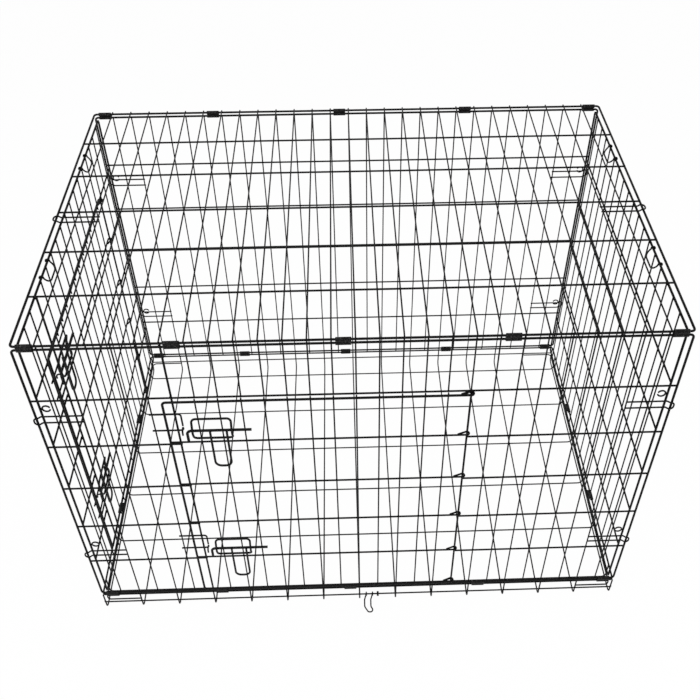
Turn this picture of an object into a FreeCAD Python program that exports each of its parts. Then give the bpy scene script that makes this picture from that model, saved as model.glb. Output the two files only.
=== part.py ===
"""Folding wire dog crate with two doors, 1067 x 711 x 762 mm.

The origin is on the floor below the middle of the tray. +X runs along the long side,
-Y is the front and +Z is up. Every wire is its own solid: crossing wires touch, flat to flat.
Straight mesh wires have a hexagonal section, whose width across the flats is the wire size.
"""
import FreeCAD, Part
import math
import os
from types import SimpleNamespace

import Sketcher
from FreeCAD import Placement, Rotation, Vector

DIMENSIONS = (
    # whole crate
    ("length", 1067),
    ("depth", 711),
    ("height", 762),
    # tray
    ("rim_height", 50),
    ("guard_height", 27),
    ("floor_bend", 9),
    ("floor_wires", 6),
    ("floor_pitch", 127),
    ("guard_lap", 75),
    # wire sizes
    ("border_wire", 3.8),
    ("upright_wire", 2.3),
    ("cross_wire", 3),
    ("floor_wire", 3),
    ("post_wire", 3.8),
    ("door_wire", 3.8),
    ("hook_wire", 3),
    ("keeper_wire", 3.2),
    ("guide_wire", 4),
    ("bolt_wire", 5),
    ("handle_wire", 3.5),
    ("stop_wire", 2.8),
    # panels
    ("hinge_pitch", 7.5),
    ("border_bend", 6),
    ("overhang", 1.5),
    ("fold_gap", 1.5),
    ("running_gap", 0.3),
    ("front_spaces", 28),
    ("end_spaces", 18),
    ("levels", 6),
    # doors: upright spaces from the panel's border to the latch post and to the hinge post
    ("front_latch_spaces", 6),
    ("front_hinge_spaces", 19),
    ("left_latch_spaces", 3),
    ("left_hinge_spaces", 15),
    ("door_lap", 15),
    ("door_lift", 9.5),
    ("door_drop", 6),
    ("door_bend", 6),
    ("eye_length", 16),
    # latches
    ("bolt_gap", 0.8),
    ("bolt_rise", 30.5),
    ("bolt_length", 109),
    ("bolt_throw", 24),
    ("tip_bend", 8),
    ("tip_drop", 25),
    ("tip_play", 2),
    ("guide_width", 66),
    ("guide_rise", 28),
    ("guide_fall", 20),
    ("guide_bend", 7),
    ("guide_joint", 0.2),
    ("handle_width", 28),
    ("handle_drop", 88),
    ("handle_top", 3.5),
    ("handle_bend", 11),
    ("handle_offset", 5.8),
    ("handle_play", 1),
    ("keeper_reach", 10.4),
    ("keeper_rise", 36),
    ("keeper_fall", 4),
    ("keeper_bend", 5),
    ("keeper_tail", 4),
    # clips
    ("clip_length", 25),
    ("clip_sheet", 1.2),
    ("clip_gap", 0.4),
    ("clip_spaces", 7),
    ("end_clip_spaces", 7),
    # hooks, rings and loops that hold the end panels up: the hooks stand above a counted cross wire
    ("hook_spaces", 2),
    ("hook_width", 15),
    ("hook_jog", 5),
    ("hook_upper_levels", 4),
    ("hook_upper", 78),
    ("hook_lower_levels", 1),
    ("hook_lower", 34.5),
    ("hook_middle", 338),
    ("ring_radius", 6.5),
    ("ring_rise", 10),
    ("loop_width", 46),
    ("loop_depth", 12),
    ("loop_bend", 11),
    ("loop_front", 190),
    ("loop_back", 525),
    # pan stop
    ("stop_place", 14),
    ("stop_width", 13),
    ("stop_length", 37),
    ("stop_bow", 4),
    ("stop_lip", 3.5),
    ("stop_curve", 9),
    ("stop_bend", 4.5),
    ("collar_size", 10),
    ("collar_width", 4),
    ("collar_gap", 9),
)

# places worked out from the sizes: planes and spacings of the wire centre lines
PLACES = (
    ("side_x", "(dims.length - dims.border_wire) / 2"),
    ("front_y", "(dims.depth - dims.border_wire) / 2"),
    ("top_z", "dims.height - dims.upright_wire - dims.border_wire / 2"),
    ("high_z", "top_z - dims.hinge_pitch"),
    ("low_z", "dims.rim_height + dims.hinge_pitch"),
    ("pitch", "2 * side_x / dims.front_spaces"),
    ("level", "(high_z - low_z) / dims.levels"),
    ("end_x", "side_x - dims.hinge_pitch"),
    ("end_y", "front_y - dims.border_wire - dims.post_wire - dims.fold_gap"),
    ("end_pitch", "2 * end_y / dims.end_spaces"),
    ("end_level", "(high_z - dims.rim_height) / dims.levels"),
    ("guard_out", "dims.floor_wire"),
    ("door_back", "dims.post_wire / 2 + dims.running_gap"),
    ("bolt_out", "door_back + dims.bolt_gap + dims.bolt_wire / 2"),
)

X_AXIS = Vector(1, 0, 0)
Y_AXIS = Vector(0, 1, 0)
Z_AXIS = Vector(0, 0, 1)

# how a row of wires lies: local Z is the wire, local X the direction of the row
UP_IN_X = Rotation()
UP_IN_Y = Rotation(Z_AXIS, 90)
ALONG_X_DOWN = Rotation(Y_AXIS, 90)
ALONG_X_IN_Y = Rotation(Vector(1, 1, 1), 120)
ALONG_Y_IN_X = Rotation(X_AXIS, -90)
ALONG_Y_UP = Rotation(Vector(1, 1, 1), -120)
ALONG_X_STACKED = Rotation(Vector(1, 0, 1), 180)

os.makedirs("parts", exist_ok=True)
doc = FreeCAD.newDocument("dog_crate")
nodes = []

sheet = doc.addObject("Spreadsheet::Sheet", "dims")
for row, (alias, value) in enumerate(DIMENSIONS, start=1):
    sheet.set(f"A{row}", alias)
    sheet.set(f"B{row}", str(value))
    sheet.setAlias(f"B{row}", alias)
doc.recompute()

layout = doc.addObject("App::VarSet", "layout")
for name, formula in PLACES:
    layout.addProperty("App::PropertyFloat", name)
    layout.setExpression(name, formula)
doc.recompute()
dim = SimpleNamespace(**{alias: float(sheet.get(alias)) for alias, value in DIMENSIONS})


def on_front(along, out, up):
    """Point on the front panel: along from its left border, out from its plane, up from its foot."""
    return Vector(along - layout.side_x, -layout.front_y - out, layout.low_z + up)


def on_back(along, out, up):
    """Point on the back panel, along from its left border as seen from the front."""
    return Vector(along - layout.side_x, layout.front_y + out, layout.low_z + up)


def on_top(along, out, up):
    """Point on the top panel: along from its left border, out above it, up from its front border."""
    return Vector(along - layout.side_x, up - layout.front_y, layout.top_z + out)


def on_left(along, out, up):
    """Point on the left end panel, along from its front border."""
    return Vector(-layout.end_x - out, along - layout.end_y, dim.rim_height + up)


def on_right(along, out, up):
    """Point on the right end panel, along from its front border."""
    return Vector(layout.end_x + out, along - layout.end_y, dim.rim_height + up)


def corner_size(wire, sides=6):
    """Distance from a wire's centre line to the corner of its section."""
    return wire / 2 / math.cos(math.pi / sides)


def unit(vector):
    """The same direction at length 1."""
    return Vector(vector).normalize()


def node(part, label):
    """Name a finished sub-part and keep it for the export."""
    part.Label = label
    nodes.append(part)
    return part


def gather(label, members):
    """One sub-part made of several separate wires."""
    group = doc.addObject("Part::Compound", label)
    group.Links = members
    return node(group, label)


def polygon_section(sketch, wire, sides=6):
    """Regular section about the sketch's origin, with flats facing local Y."""
    ring = sketch.addGeometry(Part.Circle(Vector(), Z_AXIS, 1), True)
    sketch.addConstraint(Sketcher.Constraint("Coincident", ring, 3, -1, 1))
    corners = []
    for index in range(sides):
        angle = 2 * math.pi * index / sides
        corners.append(Vector(math.cos(angle), math.sin(angle), 0))
    lines = []
    for index in range(sides):
        line = Part.LineSegment(corners[index], corners[(index + 1) % sides])
        lines.append(sketch.addGeometry(line))
    for index, line in enumerate(lines):
        following = lines[(index + 1) % sides]
        sketch.addConstraint(Sketcher.Constraint("Coincident", line, 2, following, 1))
        sketch.addConstraint(Sketcher.Constraint("PointOnObject", line, 1, ring))
        if index:
            sketch.addConstraint(Sketcher.Constraint("Equal", lines[0], line))
    sketch.addConstraint(Sketcher.Constraint("Horizontal", lines[1]))
    radius = sketch.addConstraint(Sketcher.Constraint("Radius", ring, 1))
    sketch.renameConstraint(radius, "corner_radius")
    sketch.setExpression("Constraints.corner_radius", f"dims.{wire} / 2 / cos({180 / sides} deg)")


def new_body(label, lie, place):
    """Empty body, turned by lie and placed by three expressions."""
    body = doc.addObject("PartDesign::Body", label)
    body.AllowCompound = True
    body.Placement = Placement(Vector(), lie)
    for axis, formula in zip("xyz", place):
        body.setExpression(f".Placement.Base.{axis}", formula)
    return body


def origin_feature(body, role):
    """The plane or axis of a body's own origin."""
    return next(item for item in body.Origin.OriginFeatures if item.Role == role)


def new_sketch(body, name, across, along):
    """Sketch across a body's wires, moved by two expressions."""
    sketch = body.newObject("Sketcher::SketchObject", name)
    sketch.AttachmentSupport = (origin_feature(body, "XY_Plane"), [""])
    sketch.MapMode = "FlatFace"
    sketch.setExpression(".AttachmentOffset.Base.x", across)
    sketch.setExpression(".AttachmentOffset.Base.z", along)
    return sketch


def pad_row(body, name, sketch, run, axis, count, step):
    """Pad a section and repeat it along one of the body's axes."""
    pad = body.newObject("PartDesign::Pad", f"{name}_pad")
    pad.Profile = sketch
    pad.setExpression("Length", run)
    body.Tip = pad
    if count == "1":
        return
    pattern = body.newObject("PartDesign::LinearPattern", f"{name}_row")
    pattern.Originals = [pad]
    pattern.Direction = (origin_feature(body, axis), [""])
    pattern.setExpression("Occurrences", count)
    pattern.setExpression("Length", f"(({count}) - 1) * ({step})")
    body.Tip = pattern


def wire_rows(label, wire, lie, place, groups):
    """Parallel straight wires: each group is its first place, start, run, count and step."""
    body = new_body(label, lie, place)
    for index, (across, start, run, count, step) in enumerate(groups):
        name = f"{label}_{index}"
        sketch = new_sketch(body, f"{name}_section", across, start)
        polygon_section(sketch, wire)
        pad_row(body, name, sketch, run, "X_Axis", count, step)
    return node(body, label)


def bend_points(before, corner, after, radius, mitres):
    """Corner of a wire cut into a few equal mitres whose short runs touch the bend's arc."""
    if radius == 0:
        return [corner]
    back = unit(before - corner)
    onward = unit(after - corner)
    half = back.getAngle(onward) / 2
    centre = corner + unit(back + onward) * (radius / math.sin(half))
    start = unit(corner + back * (radius / math.tan(half)) - centre)
    step = (math.pi - 2 * half) / mitres
    size = radius / math.cos(step / 2)
    points = []
    for index in range(mitres):
        angle = (index + 0.5) * step
        points.append(centre + (start * math.cos(angle) - back * math.sin(angle)) * size)
    return points


def wire_line(points, radii, mitres):
    """Straight runs between the points, with each inner point bent by its own radius."""
    path = [points[0]]
    for before, corner, after, radius in zip(points, points[1:], points[2:], radii):
        path += bend_points(before, corner, after, radius, mitres)
    path.append(points[-1])
    return Part.Wire([Part.LineSegment(start, stop).toShape() for start, stop in zip(path, path[1:])])


def bent_wire(label, wire, points, flat, bend=0, sides=6, mitres=2):
    """Wire along the points; bend is one radius for all inner points or one for each."""
    radii = bend if isinstance(bend, list) else [bend] * (len(points) - 2)
    spine = doc.addObject("Part::Feature", f"{label}_line")
    spine.Shape = wire_line(points, radii, mitres)
    section = doc.addObject("Part::RegularPolygon", f"{label}_section")
    section.Polygon = sides
    section.setExpression("Circumradius", f"dims.{wire} / 2 / cos({180 / sides} deg)")
    tangent = (points[1] - points[0]).normalize()
    facing = Rotation(flat.cross(tangent), flat, tangent, "ZYX")
    flats_first = Rotation(Z_AXIS, 0 if sides == 6 else 180 / sides)
    section.Placement = Placement(points[0], facing * flats_first)
    sweep = doc.addObject("Part::Sweep", label)
    sweep.Sections = [section]
    sweep.Spine = (spine, [f"Edge{index + 1}" for index in range(len(spine.Shape.Edges))])
    sweep.Solid = True
    sweep.Frenet = False
    sweep.Transition = "Right corner"
    return sweep


def round_rod(label, wire, start, lie, length):
    """Straight round wire from a point, along the Z axis that lie turns."""
    rod = doc.addObject("Part::Cylinder", label)
    rod.setExpression("Radius", f"dims.{wire} / 2")
    rod.setExpression("Height", length)
    rod.Placement = Placement(start, lie)
    return rod


def border(label, at, wide, tall, facing):
    """Closed border wire of a panel, with round corners."""
    corners = [(wide / 2, 0), (wide, 0), (wide, tall), (0, tall), (0, 0), (wide / 2, 0)]
    points = [at(along, 0, up) for along, up in corners]
    wire = bent_wire(label, "border_wire", points, facing, dim.border_bend, sides=8, mitres=3)
    return node(wire, label)


def eye(hinge, reach, height):
    """Half of a closed eye round a hinge post, from its free end to the wire in front of the post."""
    side = reach * math.tan(math.pi / 8)
    back = hinge - dim.eye_length
    corners = [(back, layout.door_back - dim.running_gap), (back, -reach), (hinge + side, -reach)]
    corners += [(hinge + reach, -side), (hinge + reach, side), (hinge + side, reach)]
    return [(along, out, height) for along, out in corners]


def door_heights(level):
    """Centre lines of the door's wires above the panel's bottom wire, from the bottom to the top."""
    rungs = [dim.door_lift + step * level for step in range(int(dim.levels) - 1)]
    return rungs + [(dim.levels - 1) * level - dim.door_drop]


def door(name, at, pitch, level, latch, hinge, along_axis):
    """Door frame and cross wires, bent round the hinge post at one side, and the bolts' guides."""
    post = hinge * pitch
    free_edge = latch * pitch - dim.door_lap
    heights = door_heights(level)
    reach = layout.door_back + dim.door_wire / 2
    corners = eye(post, reach, heights[-1])
    corners += [(free_edge, reach, heights[-1]), (free_edge, reach, heights[0])]
    corners += reversed(eye(post, reach, heights[0]))
    bends = [0] * 5 + [dim.door_bend] * 2 + [0] * 5
    points = [at(*corner) for corner in corners]
    node(bent_wire(f"{name}_frame", "door_wire", points, along_axis, bends), f"{name}_frame")

    reach = layout.door_back + dim.cross_wire / 2
    end = free_edge + corner_size(dim.door_wire)
    rungs = []
    for index, height in enumerate(heights[1:-1]):
        points = [at(*corner) for corner in eye(post, reach, height) + [(end, reach, height)]]
        rungs.append(bent_wire(f"{name}_rung{index}", "cross_wire", points, along_axis))
    gather(f"{name}_cross_wires", rungs)


def latch(name, at, pitch, level, latch_post, rung, along_axis, lie):
    """Slide bolt drawn back behind its keeper, with its guide, its handle and its bent tip."""
    height = dim.door_lift + rung * level + dim.bolt_rise
    arch = latch_post * pitch + dim.keeper_reach
    tip = arch + (dim.keeper_wire + dim.bolt_wire) / 2 + dim.tip_play
    out_axis = along_axis.cross(Z_AXIS)

    start = at(tip + dim.tip_bend, layout.bolt_out, height)
    rod = round_rod(f"{name}_bolt", "bolt_wire", start, lie, "dims.bolt_length - dims.tip_bend")
    node(rod, f"{name}_bolt")

    leg = (latch_post + 1) * pitch - dim.handle_offset + dim.bolt_throw
    out = layout.bolt_out + dim.running_gap + (dim.bolt_wire + dim.handle_wire) / 2
    top = height + dim.handle_top
    foot = height - dim.handle_drop
    corners = [(leg, top), (leg, foot), (leg + dim.handle_width, foot), (leg + dim.handle_width, top)]
    points = [at(along, out, up) for along, up in corners]
    grip = bent_wire(f"{name}_grip", "handle_wire", points, out_axis, dim.handle_bend, mitres=3)
    points = [start, at(tip, layout.bolt_out, height), at(tip, layout.bolt_out, height - dim.tip_drop)]
    hook = bent_wire(f"{name}_tip", "bolt_wire", points, out_axis, dim.tip_bend, sides=8)
    gather(f"{name}_handle", [grip, hook])

    side_room = corner_size(dim.handle_wire) + corner_size(dim.guide_wire) + dim.handle_play
    near = leg - dim.bolt_throw - side_room
    far = near + dim.guide_width
    flat_out = layout.door_back + corner_size(dim.guide_wire)
    bowed_out = layout.bolt_out + dim.running_gap + (dim.bolt_wire + dim.guide_wire) / 2
    straight = dim.bolt_wire / 2 + dim.guide_wire / 2
    middle = (near + far) / 2
    half_joint = dim.guide_joint / 2
    corners = [(middle + half_joint, flat_out, dim.guide_rise), (far, flat_out, dim.guide_rise)]
    corners += [(far, bowed_out, straight), (far, bowed_out, -straight), (far, flat_out, -dim.guide_fall)]
    corners += [(near, flat_out, -dim.guide_fall), (near, bowed_out, -straight), (near, bowed_out, straight)]
    corners += [(near, flat_out, dim.guide_rise), (middle - half_joint, flat_out, dim.guide_rise)]
    points = [at(along, outward, height + up) for along, outward, up in corners]
    bends = [dim.guide_bend, 0, 0, dim.guide_bend, dim.guide_bend, 0, 0, dim.guide_bend]
    guide = bent_wire(f"{name}_guide", "guide_wire", points, out_axis, bends)
    node(guide, f"{name}_guide")


def keeper(name, at, pitch, level, latch_post, rung, along_axis):
    """Two wires on the panel: one arched over the bolt, one turned down above it."""
    height = dim.door_lift + rung * level + dim.bolt_rise
    arch = latch_post * pitch + dim.keeper_reach
    start = (latch_post - 1) * pitch - dim.keeper_tail
    out_axis = along_axis.cross(Z_AXIS)
    behind = (dim.keeper_wire - dim.border_wire) / 2
    reach = layout.bolt_out - behind
    side = reach * math.tan(math.pi / 8)
    foot = height - dim.keeper_fall
    crown = height + reach
    front = layout.bolt_out + reach
    corners = [(start, behind, foot), (arch, behind, foot), (arch, behind, height + side)]
    corners += [(arch, layout.bolt_out - side, crown), (arch, layout.bolt_out + side, crown)]
    corners += [(arch, front, height + side), (arch, front, foot)]
    points = [at(*corner) for corner in corners]
    bends = [dim.keeper_bend, 0, 0, 0, 0]
    arched = bent_wire(f"{name}_arch", "keeper_wire", points, out_axis, bends)
    top = height + dim.keeper_rise
    end = crown + dim.keeper_wire / 2
    points = [at(start, behind, top), at(arch, behind, top), at(arch, behind, end)]
    turned = bent_wire(f"{name}_bar", "keeper_wire", points, out_axis, dim.keeper_bend)
    return [arched, turned]


def hairpin(name, at, length, height, below, from_left):
    """Hook of two legs, welded to an upright and closed round the outside of the border."""
    inside = dim.hook_spaces * layout.pitch + dim.hook_wire / 2
    lapped = below * (dim.hook_wire - dim.border_wire) / 2
    raised = (dim.border_wire + dim.hook_wire) / 2 + dim.running_gap
    clear = dim.border_wire / 2 + dim.hook_wire / 2
    leg = [(inside, lapped), (clear + dim.hook_jog, lapped), (clear, raised), (-clear, raised)]
    corners = [(along, out, height) for along, out in leg]
    corners += [(along, out, height - dim.hook_width) for along, out in reversed(leg)]
    points = []
    for along, out, up in corners:
        points.append(at(along if from_left else length - along, out, up))
    return bent_wire(name, "hook_wire", points, unit(at(0, 1, 0) - at(0, 0, 0)))


HOOK_HEIGHTS = (
    ("upper", dim.hook_upper_levels * layout.level + dim.hook_upper),
    ("lower", dim.hook_lower_levels * layout.level + dim.hook_lower),
)


def end_fittings(name, at):
    """Hook rings on the side borders of an end panel and finger loops curled round its top border."""
    tall = layout.high_z - dim.rim_height
    rings = []
    centre_out = -(dim.border_wire / 2 + corner_size(dim.hook_wire) + dim.ring_radius)
    corner = dim.ring_radius / math.cos(math.pi / 8)
    for side, along in (("front", 0), ("back", 2 * layout.end_y)):
        for place, base in HOOK_HEIGHTS:
            height = base + dim.hinge_pitch + dim.ring_rise
            points = []
            for step in range(8):
                angle = math.radians(-157.5 + 45 * step)
                out = centre_out + corner * math.cos(angle)
                points.append(at(along, out, height + corner * math.sin(angle)))
            rings.append(bent_wire(f"{name}_{side}_{place}_ring", "hook_wire", points, Y_AXIS))
    gather(f"{name}_hook_rings", rings)

    reach = (dim.border_wire + dim.hook_wire) / 2
    side = reach * math.tan(math.pi / 8)
    leg = [(reach, tall - side), (reach, tall + side), (side, tall + reach), (-side, tall + reach)]
    leg += [(-reach, tall + side), (-reach, tall - side), (-dim.loop_depth, tall - dim.loop_depth)]
    bends = [0] * 5 + [dim.loop_bend] * 2 + [0] * 5
    facing = unit(at(0, 1, 0) - at(0, 0, 0))
    loops = []
    for place, middle in (("front", dim.loop_front), ("back", dim.loop_back)):
        corners = [(middle - dim.loop_width / 2, out, up) for out, up in leg]
        corners += [(middle + dim.loop_width / 2, out, up) for out, up in reversed(leg)]
        points = [at(*corner) for corner in corners]
        loops.append(bent_wire(f"{name}_{place}_loop", "hook_wire", points, facing, bends))
    gather(f"{name}_loops", loops)


def octagon_slot(sketch, name, size):
    """Long octagon round two wires that lie one hinge pitch apart along local X."""
    half = 1.0
    side = half * math.tan(math.pi / 8)
    pitch = dim.hinge_pitch
    corners = [(-half, -side), (-side, -half), (pitch + side, -half), (pitch + half, -side)]
    corners += [(pitch + half, side), (pitch + side, half), (-side, half), (-half, side)]
    points = [Vector(across, out, 0) for across, out in corners]
    lines = []
    for index, point in enumerate(points):
        lines.append(sketch.addGeometry(Part.LineSegment(point, points[(index + 1) % 8])))
    for index, line in enumerate(lines):
        sketch.addConstraint(Sketcher.Constraint("Coincident", line, 2, lines[(index + 1) % 8], 1))
    sketch.addConstraint(Sketcher.Constraint("Horizontal", lines[1]))
    mirrored = [(lines[7], 1, lines[7], 2), (lines[3], 1, lines[3], 2)]
    mirrored += [(lines[1], 1, lines[5], 2), (lines[1], 2, lines[5], 1)]
    for pair in mirrored:
        sketch.addConstraint(Sketcher.Constraint("Symmetric", *pair, -1))
    for bevel, opposite, end in ((lines[0], lines[6], lines[7]), (lines[2], lines[4], lines[3])):
        sketch.addConstraint(Sketcher.Constraint("Perpendicular", bevel, opposite))
        sketch.addConstraint(Sketcher.Constraint("Equal", bevel, end))
    measures = (
        ("start", ("DistanceX", lines[7], 1, -1, 1, half), size),
        ("depth", ("DistanceY", lines[1], 1, lines[5], 2, 2 * half), f"2 * ({size})"),
        ("reach", ("DistanceX", -1, 1, lines[3], 1, pitch + half), f"{size} + dims.hinge_pitch"),
    )
    for label, constraint, formula in measures:
        index = sketch.addConstraint(Sketcher.Constraint(*constraint))
        sketch.renameConstraint(index, f"{name}_{label}")
        sketch.setExpression(f"Constraints.{name}_{label}", formula)


def round_slot(sketch, name, radius):
    """Slot with round ends about two wires that lie one hinge pitch apart along local X."""
    pitch = dim.hinge_pitch
    quarter = math.pi / 2
    near_end = Part.Circle(Vector(), Z_AXIS, 1)
    far_end = Part.Circle(Vector(pitch, 0, 0), Z_AXIS, 1)
    first = sketch.addGeometry(Part.ArcOfCircle(near_end, quarter, 3 * quarter))
    second = sketch.addGeometry(Part.ArcOfCircle(far_end, -quarter, quarter))
    low = sketch.addGeometry(Part.LineSegment(Vector(0, -1, 0), Vector(pitch, -1, 0)))
    high = sketch.addGeometry(Part.LineSegment(Vector(pitch, 1, 0), Vector(0, 1, 0)))
    sketch.addConstraint(Sketcher.Constraint("Coincident", first, 3, -1, 1))
    sketch.addConstraint(Sketcher.Constraint("PointOnObject", second, 3, -1))
    outline = (first, low, second, high)
    for index, piece in enumerate(outline):
        following = outline[(index + 1) % len(outline)]
        sketch.addConstraint(Sketcher.Constraint("Tangent", piece, 2, following, 1))
    sketch.addConstraint(Sketcher.Constraint("Equal", first, second))
    size = sketch.addConstraint(Sketcher.Constraint("Radius", first, 1))
    sketch.renameConstraint(size, f"{name}_radius")
    sketch.setExpression(f"Constraints.{name}_radius", radius)
    step = sketch.addConstraint(Sketcher.Constraint("DistanceX", first, 3, second, 3, pitch))
    sketch.renameConstraint(step, f"{name}_step")
    sketch.setExpression(f"Constraints.{name}_step", "dims.hinge_pitch")


BORE = "dims.border_wire / 2 / cos(22.5 deg) + dims.clip_gap"
CLIP = f"{BORE} + dims.clip_sheet"


def clips(label, lie, place, bore_outline, groups):
    """Sheet clips bent round two neighbouring border wires; each group is a start, a count and a step."""
    body = new_body(label, lie, place)
    for index, (start, count, step) in enumerate(groups):
        name = f"{label}_{index}"
        sketch = new_sketch(body, f"{name}_section", "0", start)
        octagon_slot(sketch, "outer", CLIP)
        bore_outline(sketch, "inner", BORE)
        pad_row(body, name, sketch, "dims.clip_length", "Z_Axis", count, step)
    return node(body, label)


# tray: depth wires on the floor, long wires on top of them, all turned up to the rim
depth_wires = []
under_rim = dim.rim_height - dim.border_wire / 2
floor_z = dim.floor_wire / 2
for index in range(int(dim.front_spaces) // 2 + 1):
    x = 2 * index * layout.pitch - layout.side_x
    y = layout.front_y
    run = [Vector(x, -y, under_rim), Vector(x, -y, floor_z + dim.floor_bend)]
    run.append(Vector(x, dim.floor_bend - y, floor_z))
    run += [Vector(x, -point.y, point.z) for point in reversed(run)]
    depth_wires.append(bent_wire(f"floor_depth{index}", "floor_wire", run, Y_AXIS))
gather("base_depth_wires", depth_wires)

long_wires = []
floor_z = dim.floor_wire * 3 / 2
for index in range(int(dim.floor_wires)):
    x = layout.side_x
    y = (index - (dim.floor_wires - 1) / 2) * dim.floor_pitch
    run = [Vector(-x, y, under_rim), Vector(-x, y, floor_z + dim.floor_bend)]
    run.append(Vector(dim.floor_bend - x, y, floor_z))
    run += [Vector(-point.x, y, point.z) for point in reversed(run)]
    long_wires.append(bent_wire(f"floor_long{index}", "floor_wire", run, X_AXIS))
gather("base_long_wires", long_wires)


def on_rim(along, out, up):
    """Point of the tray's rim: along from the left, up from the front."""
    return Vector(along - layout.side_x, up - layout.front_y, dim.rim_height + out)


border("base_rim", on_rim, 2 * layout.side_x, 2 * layout.front_y, Z_AXIS)

guard_y = layout.front_y + layout.guard_out
guard_start = Vector(-layout.side_x, -guard_y, dim.guard_height)
front_wire = round_rod("base_front_wire", "floor_wire", guard_start, ALONG_X_DOWN, "2 * layout.side_x")
node(front_wire, "base_front_wire")

guards = []
back_ends = [Vector(side * layout.side_x, guard_y, dim.guard_height) for side in (-1, 1)]
guards.append(bent_wire("guard_back", "floor_wire", back_ends, Y_AXIS))
for side, name in ((-1, "left"), (1, "right")):
    lap = side * (layout.side_x - dim.guard_lap)
    edge = side * (layout.side_x - layout.guard_out)
    inner_y = layout.front_y - layout.guard_out
    corners = [(lap, -inner_y), (edge, -inner_y), (edge, inner_y), (lap, inner_y)]
    points = [Vector(x, y, dim.guard_height) for x, y in corners]
    guards.append(bent_wire(f"guard_{name}", "floor_wire", points, Y_AXIS, dim.floor_bend))
gather("base_guard_wires", guards)

# front, back and top panels
WIDE = 2 * layout.side_x
TALL = layout.high_z - layout.low_z
border("front_border", on_front, WIDE, TALL, Y_AXIS)
border("back_border", on_back, WIDE, TALL, Y_AXIS)
border("top_border", on_top, WIDE, 2 * layout.front_y, Z_AXIS)

FOOT = "layout.low_z - dims.border_wire / 2 - dims.overhang"
FULL = "layout.high_z - layout.low_z + dims.border_wire + 2 * dims.overhang"
HEADER = "layout.high_z - layout.level - dims.cross_wire / 2 - dims.overhang"
HEADER_RUN = "layout.level + (dims.cross_wire + dims.border_wire) / 2 + 2 * dims.overhang"
INSIDE = "dims.border_wire / 2"
CROSS_RUN = "2 * layout.side_x - dims.border_wire"
PITCH = "layout.pitch"
LEVEL = "layout.level"
FRONT_DOOR_SPACES = "dims.front_hinge_spaces - dims.front_latch_spaces"
FRONT_SPACES_BEYOND = "dims.front_spaces - 1 - dims.front_hinge_spaces"

upright_y = "layout.front_y - (dims.border_wire + dims.upright_wire) / 2"
cross_y = "layout.front_y - (dims.border_wire - dims.cross_wire) / 2"
wire_rows("front_uprights", "upright_wire", UP_IN_X, ("-layout.side_x", f"-({upright_y})", "0"), (
    (PITCH, FOOT, FULL, "dims.front_latch_spaces - 1", PITCH),
    (f"{PITCH} * (dims.front_latch_spaces + 1)", HEADER, HEADER_RUN, FRONT_DOOR_SPACES, PITCH),
    (f"{PITCH} * (dims.front_hinge_spaces + 1)", FOOT, FULL, FRONT_SPACES_BEYOND, PITCH),
))
latch_end = f"{PITCH} * dims.front_latch_spaces + dims.post_wire / 2 + dims.overhang"
hinge_end = f"{PITCH} * dims.front_hinge_spaces + dims.post_wire / 2"
front_rows = ("-layout.side_x", f"-({cross_y})", "layout.high_z")
wire_rows("front_cross_wires", "cross_wire", ALONG_X_DOWN, front_rows, (
    (LEVEL, INSIDE, CROSS_RUN, "1", LEVEL),
    (f"2 * {LEVEL}", INSIDE, f"{latch_end} - {INSIDE}", "dims.levels - 2", LEVEL),
    (f"2 * {LEVEL}", hinge_end, f"2 * layout.side_x - {INSIDE} - ({hinge_end})", "dims.levels - 2", LEVEL),
))
wire_rows("back_uprights", "upright_wire", UP_IN_X, ("-layout.side_x", upright_y, "0"), (
    (PITCH, FOOT, FULL, "dims.front_spaces - 1", PITCH),
))
wire_rows("back_cross_wires", "cross_wire", ALONG_X_DOWN, ("-layout.side_x", cross_y, "layout.high_z"), (
    (LEVEL, INSIDE, CROSS_RUN, "dims.levels - 1", LEVEL),
))
top_wire_z = "layout.top_z + (dims.border_wire + dims.upright_wire) / 2"
top_start = "-layout.front_y - dims.border_wire / 2"
top_run = "2 * layout.front_y + dims.border_wire"
wire_rows("top_depth_wires", "upright_wire", ALONG_Y_IN_X, ("-layout.side_x", "0", top_wire_z), (
    (PITCH, top_start, top_run, "dims.front_spaces - 1", PITCH),
))
top_step = "2 * layout.front_y / dims.levels"
top_long_z = "layout.top_z + (dims.border_wire - dims.cross_wire) / 2"
top_rows = ("-layout.side_x", "-layout.front_y", top_long_z)
wire_rows("top_long_wires", "cross_wire", ALONG_X_IN_Y, top_rows, (
    (top_step, INSIDE, CROSS_RUN, "dims.levels - 1", top_step),
))


def posts(name, at, pitch, level, latch_post, hinge_post, full):
    """Latch post behind the panel's cross wires and hinge post below the topmost of them."""
    lapped = -(dim.border_wire + dim.post_wire) / 2
    foot = at(latch_post * pitch, lapped, -dim.border_wire / 2)
    first = round_rod(f"{name}_latch_post", "post_wire", foot, UP_IN_X, full)
    foot = at(hinge_post * pitch, 0, dim.border_wire / 2)
    under = f"(dims.levels - 1) * {level} - dims.border_wire / 2 - dims.cross_wire / 2 / cos(30 deg)"
    second = round_rod(f"{name}_hinge_post", "post_wire", foot, UP_IN_X, under)
    gather(f"{name}_posts", [first, second])


front_full = "layout.high_z - layout.low_z + dims.border_wire + dims.overhang"
posts("front", on_front, layout.pitch, LEVEL, dim.front_latch_spaces, dim.front_hinge_spaces, front_full)

for name, at in (("front", on_front), ("back", on_back)):
    hooks = []
    for side, from_left in (("left", True), ("right", False)):
        for place, height in HOOK_HEIGHTS:
            hooks.append(hairpin(f"{name}_{side}_{place}_hook", at, WIDE, height, 1, from_left))
    gather(f"{name}_hooks", hooks)
hooks = []
for side, from_left in (("left", True), ("right", False)):
    hooks.append(hairpin(f"top_{side}_hook", on_top, WIDE, dim.hook_middle, -1, from_left))
gather("top_hooks", hooks)

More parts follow.
